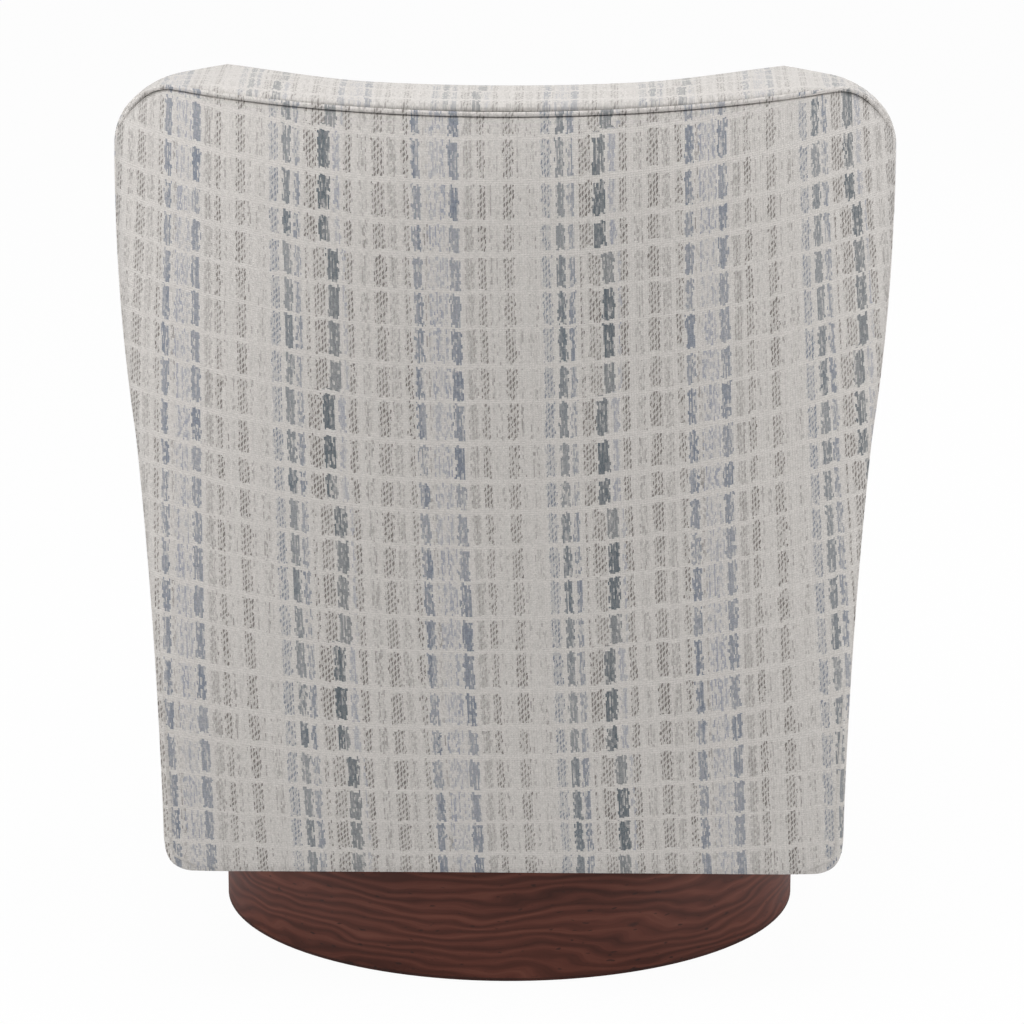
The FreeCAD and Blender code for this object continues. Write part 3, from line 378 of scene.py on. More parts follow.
def arc_points(middle, radius, start, end, count):
    """Points on an arc in the side view, angles in degrees from +Y."""
    steps = [math.radians(start + (end - start) * number / count) for number in range(count + 1)]
    return [middle + radius * Vector((math.cos(step), math.sin(step))) for step in steps]


def arm_line():
    """The side view's (Y, Z) line: up the arm front, along the arm top, up the swoop and the wing."""
    middle = arc_centre(swoop_foot, swoop_head, swoop_radius)
    angles = [math.degrees(math.atan2(end.y - middle.y, end.x - middle.x))
              for end in (swoop_foot, swoop_head)]
    line = [Vector((body_front, hem_height)), Vector((body_front, arm_front_straight))]
    front_middle = Vector((body_front + arm_front_round, arm_front_straight))
    line += arc_points(front_middle, arm_front_round, 180, 90, 8)[1:]
    line += arc_points(middle, swoop_radius, angles[0], angles[1], 14)
    return line + [Vector((wing_front, wing_top))]


def spaced(line, step):
    """Points along a line, evenly spaced."""
    lengths = [0.0]
    for start, end in zip(line, line[1:]):
        lengths.append(lengths[-1] + (end - start).length)
    count = max(round(lengths[-1] / step), 2)
    found = []
    for number in range(count + 1):
        target = lengths[-1] * number / count
        index = max(sum(1 for length in lengths if length < target) - 1, 0)
        index = min(index, len(line) - 2)
        share = (target - lengths[index]) / (lengths[index + 1] - lengths[index])
        found.append(line[index].lerp(line[index + 1], share))
    return found


print("crown peak", round(crown_at(0, 0.345), 4), "arm line points", len(arm_line()))

# %% [markdown]
# ## Making a cover
# A cover starts as a flat bmesh grid. Each of its points then moves to the place that
# a rule gives for its row and column, which keeps neat rows of quads that follow the
# form. Solidify gives the cover the thickness of cloth over wadding. The woven check
# follows the cloth, so each cover also gets a UV map in metres of cloth.

# %% Cover helpers
cloth_map = "cloth"


def put(mesh, name, body, slot_name, material, *nodes):
    """A piece of the chair from a mesh: it rides a body and stands for its CAD nodes."""
    piece = bpy.data.objects.new(name, mesh)
    bpy.context.scene.collection.objects.link(piece)
    mesh.materials.append(material)
    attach(piece, body)
    if nodes:
        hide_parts(*nodes)
    return piece


def cover(name, columns, rows, place, cloth):
    """A grid with place(u, v) for its points and cloth(point, u, v) for its UV, u and v from 0 to 1."""
    shape = bmesh.new()
    bmesh.ops.create_grid(shape, x_segments=columns, y_segments=rows, size=0.5)
    shares = {vert: (vert.co.x + 0.5, vert.co.y + 0.5) for vert in shape.verts}
    for vert, share in shares.items():
        vert.co = place(*share)
    layer = shape.loops.layers.uv.new(cloth_map)
    for face in shape.faces:
        face.smooth = True
        for loop in face.loops:
            loop[layer].uv = cloth(loop.vert.co, *shares[loop.vert])
    return mesh_from(shape, name)


def block(name, cuts, place):
    """A closed box of quads with place(x, y, z) for its points, each part from -1 to 1."""
    shape = bmesh.new()
    bmesh.ops.create_cube(shape, size=2.0)
    bmesh.ops.subdivide_edges(shape, edges=shape.edges, cuts=cuts, use_grid_fill=True)
    for vert in shape.verts:
        vert.co = place(*vert.co)
    for face in shape.faces:
        face.smooth = True
    return mesh_from(shape, name)


def outward(mesh, reference):
    """Turns the faces to point away from a point inside the piece."""
    shape = bmesh.new()
    shape.from_mesh(mesh)
    facing = sum((face.calc_center_median() - reference).dot(face.normal) * face.calc_area()
                 for face in shape.faces)
    if facing < 0:
        bmesh.ops.reverse_faces(shape, faces=shape.faces)
    shape.to_mesh(mesh)
    shape.free()


def thicken(piece, depth):
    """Gives a cover its thickness, inwards."""
    solid = piece.modifiers.new("thickness", "SOLIDIFY")
    solid.thickness = depth
    solid.offset = -1
    solid.use_even_offset = False


def add_cover(name, columns, rows, place, cloth, inside, depth, material, *nodes):
    """A cover that rides the rocking part, with its faces turned away from a point inside the piece."""
    mesh = cover(name, columns, rows, place, cloth)
    outward(mesh, Vector(inside))
    piece = put(mesh, name, "rocker", "woven_check", material, *nodes)
    thicken(piece, depth)
    return piece


def both_sides(points):
    """Points from the left to the middle, and their mirror image on to the right."""
    return points + [Vector((-point.x, point.y, point.z)) for point in points[-2::-1]]


def ripple(point, size, depth):
    """Slight unevenness of cloth over wadding."""
    return noise.noise(point / size) * depth


def rounded_rows(start, end, step, low_radius=0.0, high_radius=0.0):
    """Row heights that crowd where a corner turns at either end."""
    turns = 8
    bends = [1 - math.cos(math.pi / 2 * turn / turns) for turn in range(turns)]
    low = [start + low_radius * bend for bend in bends]
    high = [end - high_radius * bend for bend in bends]
    first = start + low_radius
    last = end - high_radius
    count = max(round((last - first) / step), 1)
    middle = [first + (last - first) * number / count for number in range(count + 1)]
    return (low if low_radius else []) + middle + (high[::-1] if high_radius else [])


# %% [markdown]
# ## The woven check
# The cover is a jacquard: a pale ground with warp stripes in blue-grey, slate and
# taupe that break into seven rows of blocks, then repeat. Colour ramps across the
# cloth say which yarn lies where, how much of it shows and where it breaks into
# seed-like flecks, and a ramp down the cloth leaves the light gaps between rows. All
# of it reads the UV map, so the check follows each cover.

# %% Woven check material
repeat_across = 0.266
repeat_down = 0.263
band_repeat = 0.202
band_repeat_down = 0.200
band_contrast = 0.62


def srgb(red, green, blue):
    """A colour seen on screen, 0 to 255, as the shader's own linear values."""
    def linear(value):
        """One channel."""
        value /= 255
        return value / 12.92 if value <= 0.04045 else ((value + 0.055) / 1.055) ** 2.4
    return linear(red), linear(green), linear(blue), 1.0


ground_yarn = srgb(203, 199, 195)
blue_grey = srgb(121, 128, 140)
slate = srgb(107, 115, 122)
slate_deep = srgb(95, 103, 109)
lavender = srgb(147, 150, 161)
taupe = srgb(139, 135, 132)
brown_grey = srgb(126, 121, 117)
# Each stripe: where it starts across the repeat, where it ends, its yarn, how much of
# it shows and how far it breaks into seeds
stripes = [
    (0.000, 0.015, blue_grey, 0.76, 0.0), (0.022, 0.036, taupe, 0.40, 0.0),
    (0.038, 0.104, lavender, 0.50, 0.0), (0.112, 0.148, blue_grey, 0.80, 0.0),
    (0.165, 0.198, taupe, 0.62, 0.5), (0.212, 0.242, brown_grey, 0.80, 1.0),
    (0.252, 0.264, taupe, 0.40, 0.0), (0.276, 0.290, taupe, 0.30, 0.0),
    (0.302, 0.340, brown_grey, 0.80, 1.0), (0.352, 0.366, taupe, 0.40, 0.0),
    (0.388, 0.422, taupe, 0.34, 0.0), (0.442, 0.480, blue_grey, 0.70, 0.8),
    (0.500, 0.530, slate, 0.80, 0.0), (0.542, 0.564, blue_grey, 0.66, 0.0),
    (0.585, 0.630, brown_grey, 0.82, 1.0), (0.640, 0.680, slate_deep, 0.82, 0.0),
    (0.696, 0.722, lavender, 0.66, 0.2), (0.738, 0.765, brown_grey, 0.84, 1.0),
    (0.790, 0.822, taupe, 0.44, 0.2), (0.840, 0.885, brown_grey, 0.86, 1.0),
    (0.898, 0.926, taupe, 0.50, 0.5), (0.948, 0.970, brown_grey, 0.72, 1.0),
    (0.982, 1.000, blue_grey, 0.76, 0.0)]
# Each row of blocks: where its light gap starts down the repeat and where its block does
rows_down = [
    (0.000, 0.024), (0.149, 0.178), (0.273, 0.298), (0.416, 0.434),
    (0.556, 0.573), (0.702, 0.725), (0.840, 0.860)]


class Loom:
    """Short names for the nodes that a material needs."""

    def __init__(self, name):
        self.material = bpy.data.materials.new(name)
        self.material.use_nodes = True
        self.tree = self.material.node_tree
        self.surface = self.tree.nodes["Principled BSDF"]

    def link(self, value, socket):
        """Gives a socket a number, a colour or another socket's value."""
        if isinstance(value, (int, float, tuple)):
            socket.default_value = value
        else:
            self.tree.links.new(value, socket)

    def math(self, operation, first, second=0.0, third=0.0, clamp=False):
        """One operation on up to three values."""
        made = add_node(self.tree, "ShaderNodeMath", operation=operation, use_clamp=clamp)
        for value, socket in zip((first, second, third), made.inputs):
            self.link(value, socket)
        return made.outputs[0]

    def swing(self, value, reach):
        """Turns 0 to 1 into half a reach either way."""
        return self.math("MULTIPLY_ADD", value, reach, -reach / 2)

    def between(self, value, low, high):
        """1 where a value lies between two others, else 0."""
        above, below = self.math("GREATER_THAN", value, low), self.math("LESS_THAN", value, high)
        return self.math("MULTIPLY", above, below)

    def mix(self, share, first, second, blend_type="MIX"):
        """A blend of two colours."""
        made = add_node(self.tree, "ShaderNodeMix", data_type="RGBA", blend_type=blend_type)
        self.link(share, made.inputs["Factor"])
        self.link(first, made.inputs["A"])
        self.link(second, made.inputs["B"])
        return made.outputs["Result"]

    def ramp(self, value, stops, interpolation="CONSTANT"):
        """The colour or the number that a value picks from (place, colour) stops."""
        made = add_node(self.tree, "ShaderNodeValToRGB")
        band = made.color_ramp
        band.interpolation = interpolation
        while len(band.elements) < len(stops):
            band.elements.new(1.0)
        for element, (place, colour) in zip(band.elements, stops):
            element.position = place
            if isinstance(colour, (int, float)):
                colour = (colour, colour, colour, 1.0)
            element.color = colour
        self.link(value, made.inputs["Fac"])
        return made.outputs["Color"]

    def pair(self, across, down, depth=0.0):
        """A place from two values, or from three."""
        made = add_node(self.tree, "ShaderNodeCombineXYZ")
        for value, socket in zip((across, down, depth), made.inputs):
            self.link(value, socket)
        return made.outputs[0]

    def parts(self, place):
        """A place's X, Y and Z."""
        made = add_node(self.tree, "ShaderNodeSeparateXYZ")
        self.link(place, made.inputs[0])
        return [made.outputs[axis] for axis in "XYZ"]

    def scaled(self, values, factors, depth=0.0):
        """A place from values, each times its factor."""
        made = [self.math("MULTIPLY", value, factor) for value, factor in zip(values, factors)]
        return self.pair(*(made + [depth])[:3])

    def speckle(self, place):
        """A random value for each whole-number place."""
        made = add_node(self.tree, "ShaderNodeTexWhiteNoise", noise_dimensions="3D")
        self.link(place, made.inputs["Vector"])
        return made.outputs["Value"]

    def cloud(self, place, scale, detail=2.0):
        """Soft noise between 0 and 1."""
        made = add_node(self.tree, "ShaderNodeTexNoise")
        self.link(place, made.inputs["Vector"])
        made.inputs["Scale"].default_value = scale
        made.inputs["Detail"].default_value = detail
        return made.outputs["Fac"]

    def wave(self, value, pitch):
        """0 to 1 and back over each pitch."""
        turned = self.math("MULTIPLY", value, 2 * math.pi / pitch)
        return self.math("MULTIPLY_ADD", self.math("SINE", turned), 0.5, 0.5)

    def bump(self, height, strength, distance):
        """Fine relief from a height."""
        made = add_node(self.tree, "ShaderNodeBump")
        made.inputs["Strength"].default_value = strength
        made.inputs["Distance"].default_value = distance
        self.link(height, made.inputs["Height"])
        self.link(made.outputs["Normal"], self.surface.inputs["Normal"])

    def paint(self, colour, tone):
        """Base colour from a colour and a tone that lightens or darkens it."""
        painted = self.mix(1.0, colour, self.pair(tone, tone, tone), "MULTIPLY")
        self.link(painted, self.surface.inputs["Base Color"])

    def finish(self, roughness, specular, sheen=0.0, metallic=0.0):
        """Gloss, sheen and metal."""
        self.link(roughness, self.surface.inputs["Roughness"])
        self.surface.inputs["Specular IOR Level"].default_value = specular
        self.surface.inputs["Sheen Weight"].default_value = sheen
        self.surface.inputs["Sheen Roughness"].default_value = 0.5
        self.surface.inputs["Metallic"].default_value = metallic


def short_name(operation):
    """A Loom method for one operation."""
    return lambda self, *values, clamp=False: self.math(operation, *values, clamp=clamp)


operations = {
    "times": "MULTIPLY", "plus": "ADD", "minus": "SUBTRACT", "over": "DIVIDE", "scale_add": "MULTIPLY_ADD",
    "floor": "FLOOR", "fract": "FRACT", "above": "GREATER_THAN", "below": "LESS_THAN"}
for method_name, operation in operations.items():
    setattr(Loom, method_name, short_name(operation))


def stripe_stops(pick):
    """Ramp stops for the stripes, with the ground between them."""
    found = []
    for start, end, yarn, share, seeds in stripes:
        found.append((start, pick(yarn, share, seeds)))
        found.append((end, pick(None, 0.0, 0.0)))
    return found


def long_ramp(loom, value, stops):
    """A constant ramp of up to 60 stops, in two halves because one ramp holds 32 at most."""
    middle = len(stops) // 2
    low, high = stops[:middle], stops[middle:]
    first = loom.ramp(value, low)
    second = loom.ramp(value, [(0.0, low[-1][1])] + high)
    return loom.mix(loom.above(value, high[0][0]), first, second)


yarn_width = 0.0013
float_length = 0.0038
float_gain = 2.6
float_base = 0.24
streak_share = 0.38
yarn_jitter = 0.0022
column_wander = 0.0026
block_jitter = 0.0042
seed_columns = 0.0031
seed_rows = 0.0060
seed_slant = 0.45
rib_depth = 0.10
weft_pitch = 0.0023
grain_size = 0.0011
stepped_stripes = (0.596, 0.737)
stripe_step = 0.029


def floats(loom, across, down):
    """Numbers for the yarns: the middle of each across the cloth, and a random value for each float."""
    number = loom.floor(loom.over(across, yarn_width))
    middle = loom.scale_add(number, yarn_width, yarn_width / 2)
    start = loom.times(loom.speckle(loom.pair(number, 0.71)), 7.0)
    step = loom.floor(loom.plus(loom.over(down, float_length), start))
    return middle, loom.speckle(loom.pair(number, step, 0.3)), loom.speckle(loom.pair(step, number, 4.7))


def seeds_at(loom, across, down, chance):
    """Leaf-shaped flecks in half-dropped columns, some of them missing."""
    column = loom.over(across, seed_columns)
    half_drop = loom.times(loom.floor(column), 0.5)
    row = loom.plus(loom.over(down, seed_rows), half_drop)
    x = loom.minus(loom.fract(column), 0.5)
    y = loom.minus(loom.fract(row), 0.5)
    slant = loom.math("ABSOLUTE", loom.scale_add(y, seed_slant, x))
    reach = loom.scale_add(loom.math("ABSOLUTE", y), 0.62, slant)
    size = loom.scale_add(chance, 0.18, 0.26)
    return loom.below(reach, size)


def woven_check(name, across_repeat=repeat_across, down_repeat=repeat_down, contrast=1.0):
    """The broken check, at a repeat and a strength."""
    loom = Loom(name)
    place = add_node(loom.tree, "ShaderNodeUVMap", uv_map=cloth_map)
    across, down = loom.parts(place.outputs["UV"])[:2]
    middle, chance, other_chance = floats(loom, across, down)

    wander = loom.swing(loom.cloud(loom.pair(across, down), 9.0), column_wander)
    jitter = loom.swing(other_chance, yarn_jitter)
    column = loom.over(loom.plus(middle, loom.plus(wander, jitter)), across_repeat)
    column_share = loom.fract(column)
    pair_of_yarns = loom.floor(loom.over(across, 2 * yarn_width))
    row_jitter = loom.swing(loom.speckle(loom.pair(pair_of_yarns, 0.2)), block_jitter)
    row = loom.over(loom.plus(down, row_jitter), down_repeat)
    row_share = loom.fract(row)

    # A few stripes step sideways in four of the rows
    block = loom.ramp(row_share, [
        (start, 0.02 + 0.13 * number) for number, (start, solid) in enumerate(rows_down)])
    stepped = loom.times(loom.between(row_share, rows_down[2][0], rows_down[6][0]),
                         loom.between(column_share, *stepped_stripes))
    picked = loom.minus(column_share, loom.times(stepped, stripe_step))
    yarn = long_ramp(loom, picked, stripe_stops(lambda yarn, share, seeds: yarn or ground_yarn))
    show = long_ramp(loom, picked, stripe_stops(lambda yarn, share, seeds: share))
    seedy = long_ramp(loom, picked, stripe_stops(lambda yarn, share, seeds: seeds))
    solid_rows = loom.ramp(row_share, [
        stop for start, solid in rows_down for stop in ((start, 0.0), (solid, 1.0))])

    # How much of the coloured yarn shows at each place
    streak = loom.speckle(loom.pair(middle, block, loom.floor(row)))
    mixed = loom.scale_add(streak, streak_share, loom.times(chance, 1 - streak_share))
    floated = loom.scale_add(loom.minus(show, mixed), float_gain, float_base, clamp=True)
    seed = loom.times(seeds_at(loom, across, down, chance), loom.below(other_chance, show))
    seed = loom.math("MAXIMUM", seed, loom.times(floated, 0.22))
    texture = loom.mix(seedy, floated, seed)
    cell = loom.pair(loom.floor(loom.times(column_share, 12.0)), block, loom.floor(column))
    block_tone = loom.scale_add(loom.speckle(cell), 0.28, 0.72)
    yarn_tone = loom.scale_add(chance, 0.25, 0.86)
    amount = loom.times(loom.times(texture, solid_rows), loom.times(block_tone, yarn_tone), clamp=True)
    if contrast < 1.0:
        amount = loom.times(amount, contrast)

    # Ribs, grain and slubs darken and lighten it
    warp_rib = loom.times(mixed, loom.times(solid_rows, rib_depth))
    weft_rib = loom.times(loom.wave(down, weft_pitch), loom.scale_add(solid_rows, -0.06, rib_depth))
    grain = loom.speckle(loom.pair(
        loom.floor(loom.over(across, grain_size)), loom.floor(loom.over(down, grain_size)), 9.1))
    slub = loom.cloud(loom.pair(across, loom.times(down, 6.0)), 160.0)
    tone = loom.scale_add(grain, 0.19, 0.885)
    tone = loom.minus(tone, loom.plus(warp_rib, weft_rib))
    loom.paint(loom.mix(amount, ground_yarn, yarn), loom.plus(tone, loom.swing(slub, 0.16)))

    weave = loom.times(loom.wave(across, 2 * yarn_width), loom.wave(down, 0.0021))
    loom.bump(loom.scale_add(amount, 0.8, weave), 0.25, 0.0008)
    loom.finish(0.92, 0.18, 0.12)
    return loom.material


check = woven_check("woven_check")
band_check = woven_check("woven_check_band", band_repeat, band_repeat_down, band_contrast)
print("stripes", len(stripes), "rows", len(rows_down))

# %% [markdown]
# ## Wood, metal, plastic and rubber
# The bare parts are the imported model's own solids, so their patterns read Object
# coordinates. The drum's veneer runs round it: its grain is laid out along the angle
# round the drum and the height, and its joint is at the front, out of sight here.

# %% Drum veneer
drum_radius = 0.305
# Height of the painted shade along the drum's bottom edge, next to the floor
painted_foot_shade_height = 0.0062


def object_place(loom):
    """Object coordinates, whole and in their three parts."""
    place = add_node(loom.tree, "ShaderNodeTexCoord").outputs["Object"]
    return place, loom.parts(place)


def drum_veneer():
    """Dark stained veneer: wavy rings, long fibres, small dark flecks, and painted shade along its bottom
    edge.
    """
    loom = Loom("drum_veneer")
    place, (x, y, z) = object_place(loom)
    around = loom.times(loom.math("ARCTAN2", x, y), drum_radius)
    bend = loom.cloud(loom.scaled((around, z), (3.6, 11.0)), 1.0, 3.0)
    level = loom.scale_add(bend, 0.115, z)
    rings = loom.wave(level, 0.0115)
    band = loom.cloud(loom.scaled((around, level), (4.0, 60.0)), 1.0, 3.0)
    fibre = loom.cloud(loom.scaled((around, level), (22.0, 700.0)), 1.0, 2.0)
    mixed = loom.plus(loom.times(rings, 0.30), loom.times(band, 0.55))
    colour = loom.ramp(loom.scale_add(fibre, 0.34, mixed), [
        (0.28, srgb(58, 28, 21)), (0.50, srgb(78, 41, 32)), (0.66, srgb(91, 49, 39)),
        (0.86, srgb(108, 63, 51))], "LINEAR")
    flecks = loom.cloud(loom.scaled((around, z), (75.0, 230.0)), 1.0, 1.0)
    dark_fleck = loom.ramp(flecks, [(0.68, 0.0), (0.74, 0.75)], "LINEAR")
    knots = loom.cloud(loom.scaled((around, z), (26.0, 60.0), 3.0), 1.0, 1.0)
    dark_knot = loom.ramp(knots, [(0.74, 0.0), (0.80, 0.7)], "LINEAR")
    dark = loom.math("MAXIMUM", dark_fleck, dark_knot)
    colour = loom.mix(dark, colour, srgb(44, 27, 24))
    # Painted shade: the lowest few millimetres are darkened, as in the shadow at the floor
    colour = loom.mix(loom.times(loom.below(z, painted_foot_shade_height), 0.6), colour, srgb(30, 20, 18))
    loom.link(colour, loom.surface.inputs["Base Color"])
    loom.bump(loom.minus(fibre, dark), 0.12, 0.0004)
    loom.finish(loom.scale_add(band, 0.16, 0.42), 0.22)
    return loom.material


# %% Other bare materials
def frame_wood():
    """Sawn hardwood, its grain along X."""
    loom = Loom("frame_wood")
    place, (x, y, z) = object_place(loom)
    grain = loom.cloud(loom.scaled((x, y, z), (3.0, 60.0, 60.0)), 1.0, 4.0)
    fibre = loom.cloud(loom.scaled((x, y, z), (30.0, 500.0, 500.0)), 1.0, 2.0)
    mixed = loom.scale_add(fibre, 0.35, loom.times(grain, 0.7))
    colour = loom.ramp(mixed, [
        (0.30, srgb(150, 116, 80)), (0.50, srgb(190, 156, 114)), (0.75, srgb(212, 184, 146))], "LINEAR")
    loom.link(colour, loom.surface.inputs["Base Color"])
    loom.bump(mixed, 0.2, 0.0005)
    loom.finish(0.72, 0.3)
    return loom.material


def plain_finish(name, colour, roughness, specular, metallic=0.0, mottle=0.10, grain=1400.0, relief=0.1):
    """An even finish with slight mottling, fine grain and a broken gloss."""
    loom = Loom(name)
    place, parts = object_place(loom)
    broad = loom.cloud(place, 22.0, 3.0)
    fine = loom.cloud(place, grain, 1.0)
    tone = loom.scale_add(broad, mottle, 1 - mottle / 2)
    loom.paint(srgb(*colour), loom.plus(tone, loom.swing(fine, mottle)))
    loom.bump(fine, relief, 0.0003)
    loom.finish(loom.scale_add(broad, 0.16, roughness - 0.08), specular, metallic=metallic)
    return loom.material


def plain_weave(name, colour, pitch, roughness=0.9):
    """A plain cloth: threads over and under at a pitch, read in the level plane."""
    loom = Loom(name)
    place, (x, y, z) = object_place(loom)
    over = loom.times(loom.wave(x, pitch), loom.wave(y, pitch))
    broad = loom.cloud(place, 14.0, 3.0)
    tone = loom.scale_add(over, 0.30, 0.80)
    loom.paint(srgb(*colour), loom.plus(tone, loom.swing(broad, 0.2)))
    loom.bump(over, 0.3, 0.0006)
    loom.finish(roughness, 0.15, 0.05)
    return loom.material


finishes = {
    "drum_wood": drum_veneer(),
    "frame_wood": frame_wood(),
    "glide_plastic": plain_finish("glide_plastic", (52, 50, 50), 0.6, 0.4),
    "plated_steel": plain_finish("plated_steel", (178, 180, 184), 0.34, 0.5, 1.0, 0.14),
    "painted_steel": plain_finish("painted_steel", (52, 53, 56), 0.45, 0.45, 0.0, 0.16),
    "cage_plastic": plain_finish("cage_plastic", (226, 220, 206), 0.5, 0.4),
    "bush_plastic": plain_finish("bush_plastic", (236, 235, 230), 0.45, 0.4),
    "stop_rubber": plain_finish("stop_rubber", (40, 40, 41), 0.8, 0.25, 0.0, 0.2),
    "deck_cloth": plain_weave("deck_cloth", (196, 188, 172), 0.0024),
    "cover_cloth": plain_weave("cover_cloth", (40, 40, 42), 0.0020, 0.95)}
slot_of = {entry["node"]: entry["material_slot"] for entry in frame["record"]["subparts"]}
for node_name, node_object in frame["nodes"].items():
    finish = finishes.get(slot_of[node_name], check)
    node_object.data.materials.clear()
    node_object.data.materials.append(finish)
print("finishes", len(finishes), "on", len(slot_of), "nodes")

# %% [markdown]
# ## Where the check falls
# An upholsterer lays the check so that its columns run straight down the rear panel.
# On the bowed back a column keeps its distance along the cloth, not across the
# picture, and the rows rise a little at both sides because the cloth is cut level
# and then pulled round the bow.

# %% Cloth places
first_column = 0.080
first_row = 0.0685
profile_start = 0.940
column_lean = 0.0094
column_lean_growth = 0.025
row_stretch = 0.0054
row_reach = 0.33
hem_row_shift = 0.0062
hem_row_tilt = 0.02
side_first_column = 0.13
side_row_shift = 0.02
column_eases = [(-0.42, 0.0060), (-0.16, 0.0066), (0.0, 0.0010), (0.16, 0.0030), (0.40, -0.0010)]
row_rises = [
    (0.10, 0.009), (0.159, 0.011), (0.24, 0.017), (0.348, 0.028), (0.467, 0.032),
    (0.608, 0.030), (0.725, 0.028), (0.83, 0.027), (0.96, 0.026)]


def rear_cloth(point, u=0.0, v=0.0):
    """Cloth place of a point on the rear face: across from the picture's left, down from the top."""
    height = point.z
    radius = bow_radius(rear_table, height)
    along = -radius * math.asin(point.x / radius)
    drop = profile_start - height
    lean = column_lean * drop + column_lean_growth * drop ** 2
    down = drop + row_stretch * drop ** 2 + through(row_rises, height) * (point.x / row_reach) ** 2
    along += through(column_eases, keep_inside(along, -0.40, 0.38))
    shift = hem_row_shift + hem_row_tilt * keep_inside(point.x, -0.15, 0.15)
    down -= shift * smooth_step(0.15, 0.22, height)
    return along + first_column - lean, down - first_row


def side_cloth(point, u=0.0, v=0.0):
    """Cloth place on an outside arm, level with the rear panel's rows."""
    down = profile_start - point.z - first_row + side_row_shift
    return side_first_column + math.copysign(point.y, point.x), down


def front_cloth(point, u=0.0, v=0.0):
    """Cloth place on a face that looks forwards."""
    return point.x + first_column, profile_start - point.z - first_row


# %% [markdown]
# ## Outside back
# The big rear panel is one piece of the check, stretched over the bowed frame. It is
# a grid whose rows are as wide as the body at their height, so its ends follow the
# waisted sides and the round corners. At the hem the cloth turns under.

# %% Outside back panel
welt_width = 0.0048
hem_turn = 0.006
hem_sag = 0.0022
hem_side_sag = 0.0022
hem_sag_start = 0.24
rear_ripple = (0.16, 0.0012)
hem_under = 0.022
panel_thickness = 0.004
groove_depth = 0.0035
seam_drop = 0.0023
side_drop = 0.0014
corner_drop = 0.0035
panel_top = top_height - seam_drop
panel_rows = rounded_rows(
    hem_height, panel_top - 0.0015, 0.011, hem_corner, top_corner - seam_drop - 0.0015) + [panel_top]
under_rows = 5


def seam_inset(height):
    """How far the seam lies inside the outline: most in the round corners."""
    share = keep_inside((height - shoulder.y) / (panel_top - shoulder.y), 0, 1)
    return side_drop + (seam_drop - side_drop) * share + corner_drop * math.sin(math.pi * share ** 1.5)


def rear_panel_place(u, v):
    """Rear panel: u across, v from the turned hem up to the welt."""
    number = round(v * (len(panel_rows) - 1 + under_rows)) - under_rows
    height = panel_rows[max(number, 0)]
    half = side_at(height, seam_inset(height))
    x = (2 * u - 1) * half
    lift = height - panel_dip(x) * smooth_step(dip_start, top_height, height)
    lift -= (hem_sag + hem_side_sag * (x / half) ** 2) * smooth_step(hem_sag_start, hem_height, height)
    y = rear_face(x, lift) + ripple(Vector((x, 0, lift)), *rear_ripple)
    turn = smooth_step(hem_height + hem_turn, hem_height, height)
    y -= hem_turn * turn * 0.4
    if height == panel_top:
        y -= groove_depth
    elif u in (0, 1):
        y -= groove_depth * smooth_step(shoulder.y - 0.01, shoulder.y + 0.03, height)
    if number < 0:
        share = -number / under_rows
        return Vector((x, y - panel_thickness - hem_under * share, lift + hem_turn * 0.2 * share))
    return Vector((x, y, lift))


rear_panel = add_cover(
    "outside_back_cover", 64, len(panel_rows) - 1 + under_rows, rear_panel_place, rear_cloth,
    (0, 0, 0.5), panel_thickness, check, "outside_back")
print("rear panel", len(rear_panel.data.polygons), "quads")

# %% [markdown]
# ## Welts
# A welt is a cord wrapped in the same cloth and sewn into a seam. A curve with a
# round bevel makes one quickly; it is turned into a mesh so that its cloth map can
# follow the panel beside it.

# %% Welt helper
def cord_mesh(name, points, radius, cloth, closed=False):
    """A round cord through points, as a mesh with a cloth map."""
    line = bpy.data.curves.new(name, "CURVE")
    line.dimensions = "3D"
    line.bevel_depth = radius
    line.bevel_resolution = 2
    line.use_fill_caps = not closed
    spline = line.splines.new("POLY")
    spline.points.add(len(points) - 1)
    for knot, point in zip(spline.points, points):
        knot.co = (*point, 1)
    spline.use_cyclic_u = closed
    holder = bpy.data.objects.new(name, line)
    bpy.context.scene.collection.objects.link(holder)
    made = bpy.data.meshes.new_from_object(holder)
    bpy.data.objects.remove(holder)
    bpy.data.curves.remove(line)
    layer = made.uv_layers.get(cloth_map) or made.uv_layers.new(name=cloth_map)
    for polygon in made.polygons:
        polygon.use_smooth = True
        for index in polygon.loop_indices:
            vertex = made.vertices[made.loops[index].vertex_index]
            layer.data[index].uv = cloth(vertex.co)
    made.name = name
    return made


def add_welt(name, body, points, cloth, *nodes, closed=False):
    """A welt of the woven check that rides a body."""
    return put(cord_mesh(name, points, welt_radius, cloth, closed), name, body, "woven_check", check, *nodes)


def corner_turn(count):
    """Angles from the side round to the top."""
    return [math.pi / 2 * number / count for number in range(count + 1)]


welt_radius = welt_width / 2
side_cord_depth = 0.0050
top_cord_depth = 0.0003


def rear_edge_points(side_rise, top_rise):
    """The rear seam from one hem corner over the top to the other."""
    side = [Vector((side_at(height, side_drop - side_rise), -side_cord_depth, height))
            for height in rounded_rows(hem_height + 0.006, shoulder.y, 0.012)]
    for turn in corner_turn(12)[1:]:
        share = math.sin(turn) ** 2
        radius = top_corner - seam_inset(shoulder.y + (panel_top - shoulder.y) * math.sin(turn))
        radius += side_rise + (top_rise - side_rise) * share
        depth = side_cord_depth + (top_cord_depth - side_cord_depth) * share
        side.append(Vector((corner_middle.x + radius * math.cos(turn), -depth,
                            shoulder.y + radius * math.sin(turn))))
    half = corner_middle.x
    count = 28
    top = [Vector((half - half * number / count, -top_cord_depth, 0)) for number in range(1, count + 1)]
    for point in top:
        point.z = panel_top + top_rise - panel_dip(point.x)
    line = both_sides(side + top)
    for point in line:
        point.y += rear_face(point.x, min(point.z, top_height - panel_dip(point.x)))
    return line


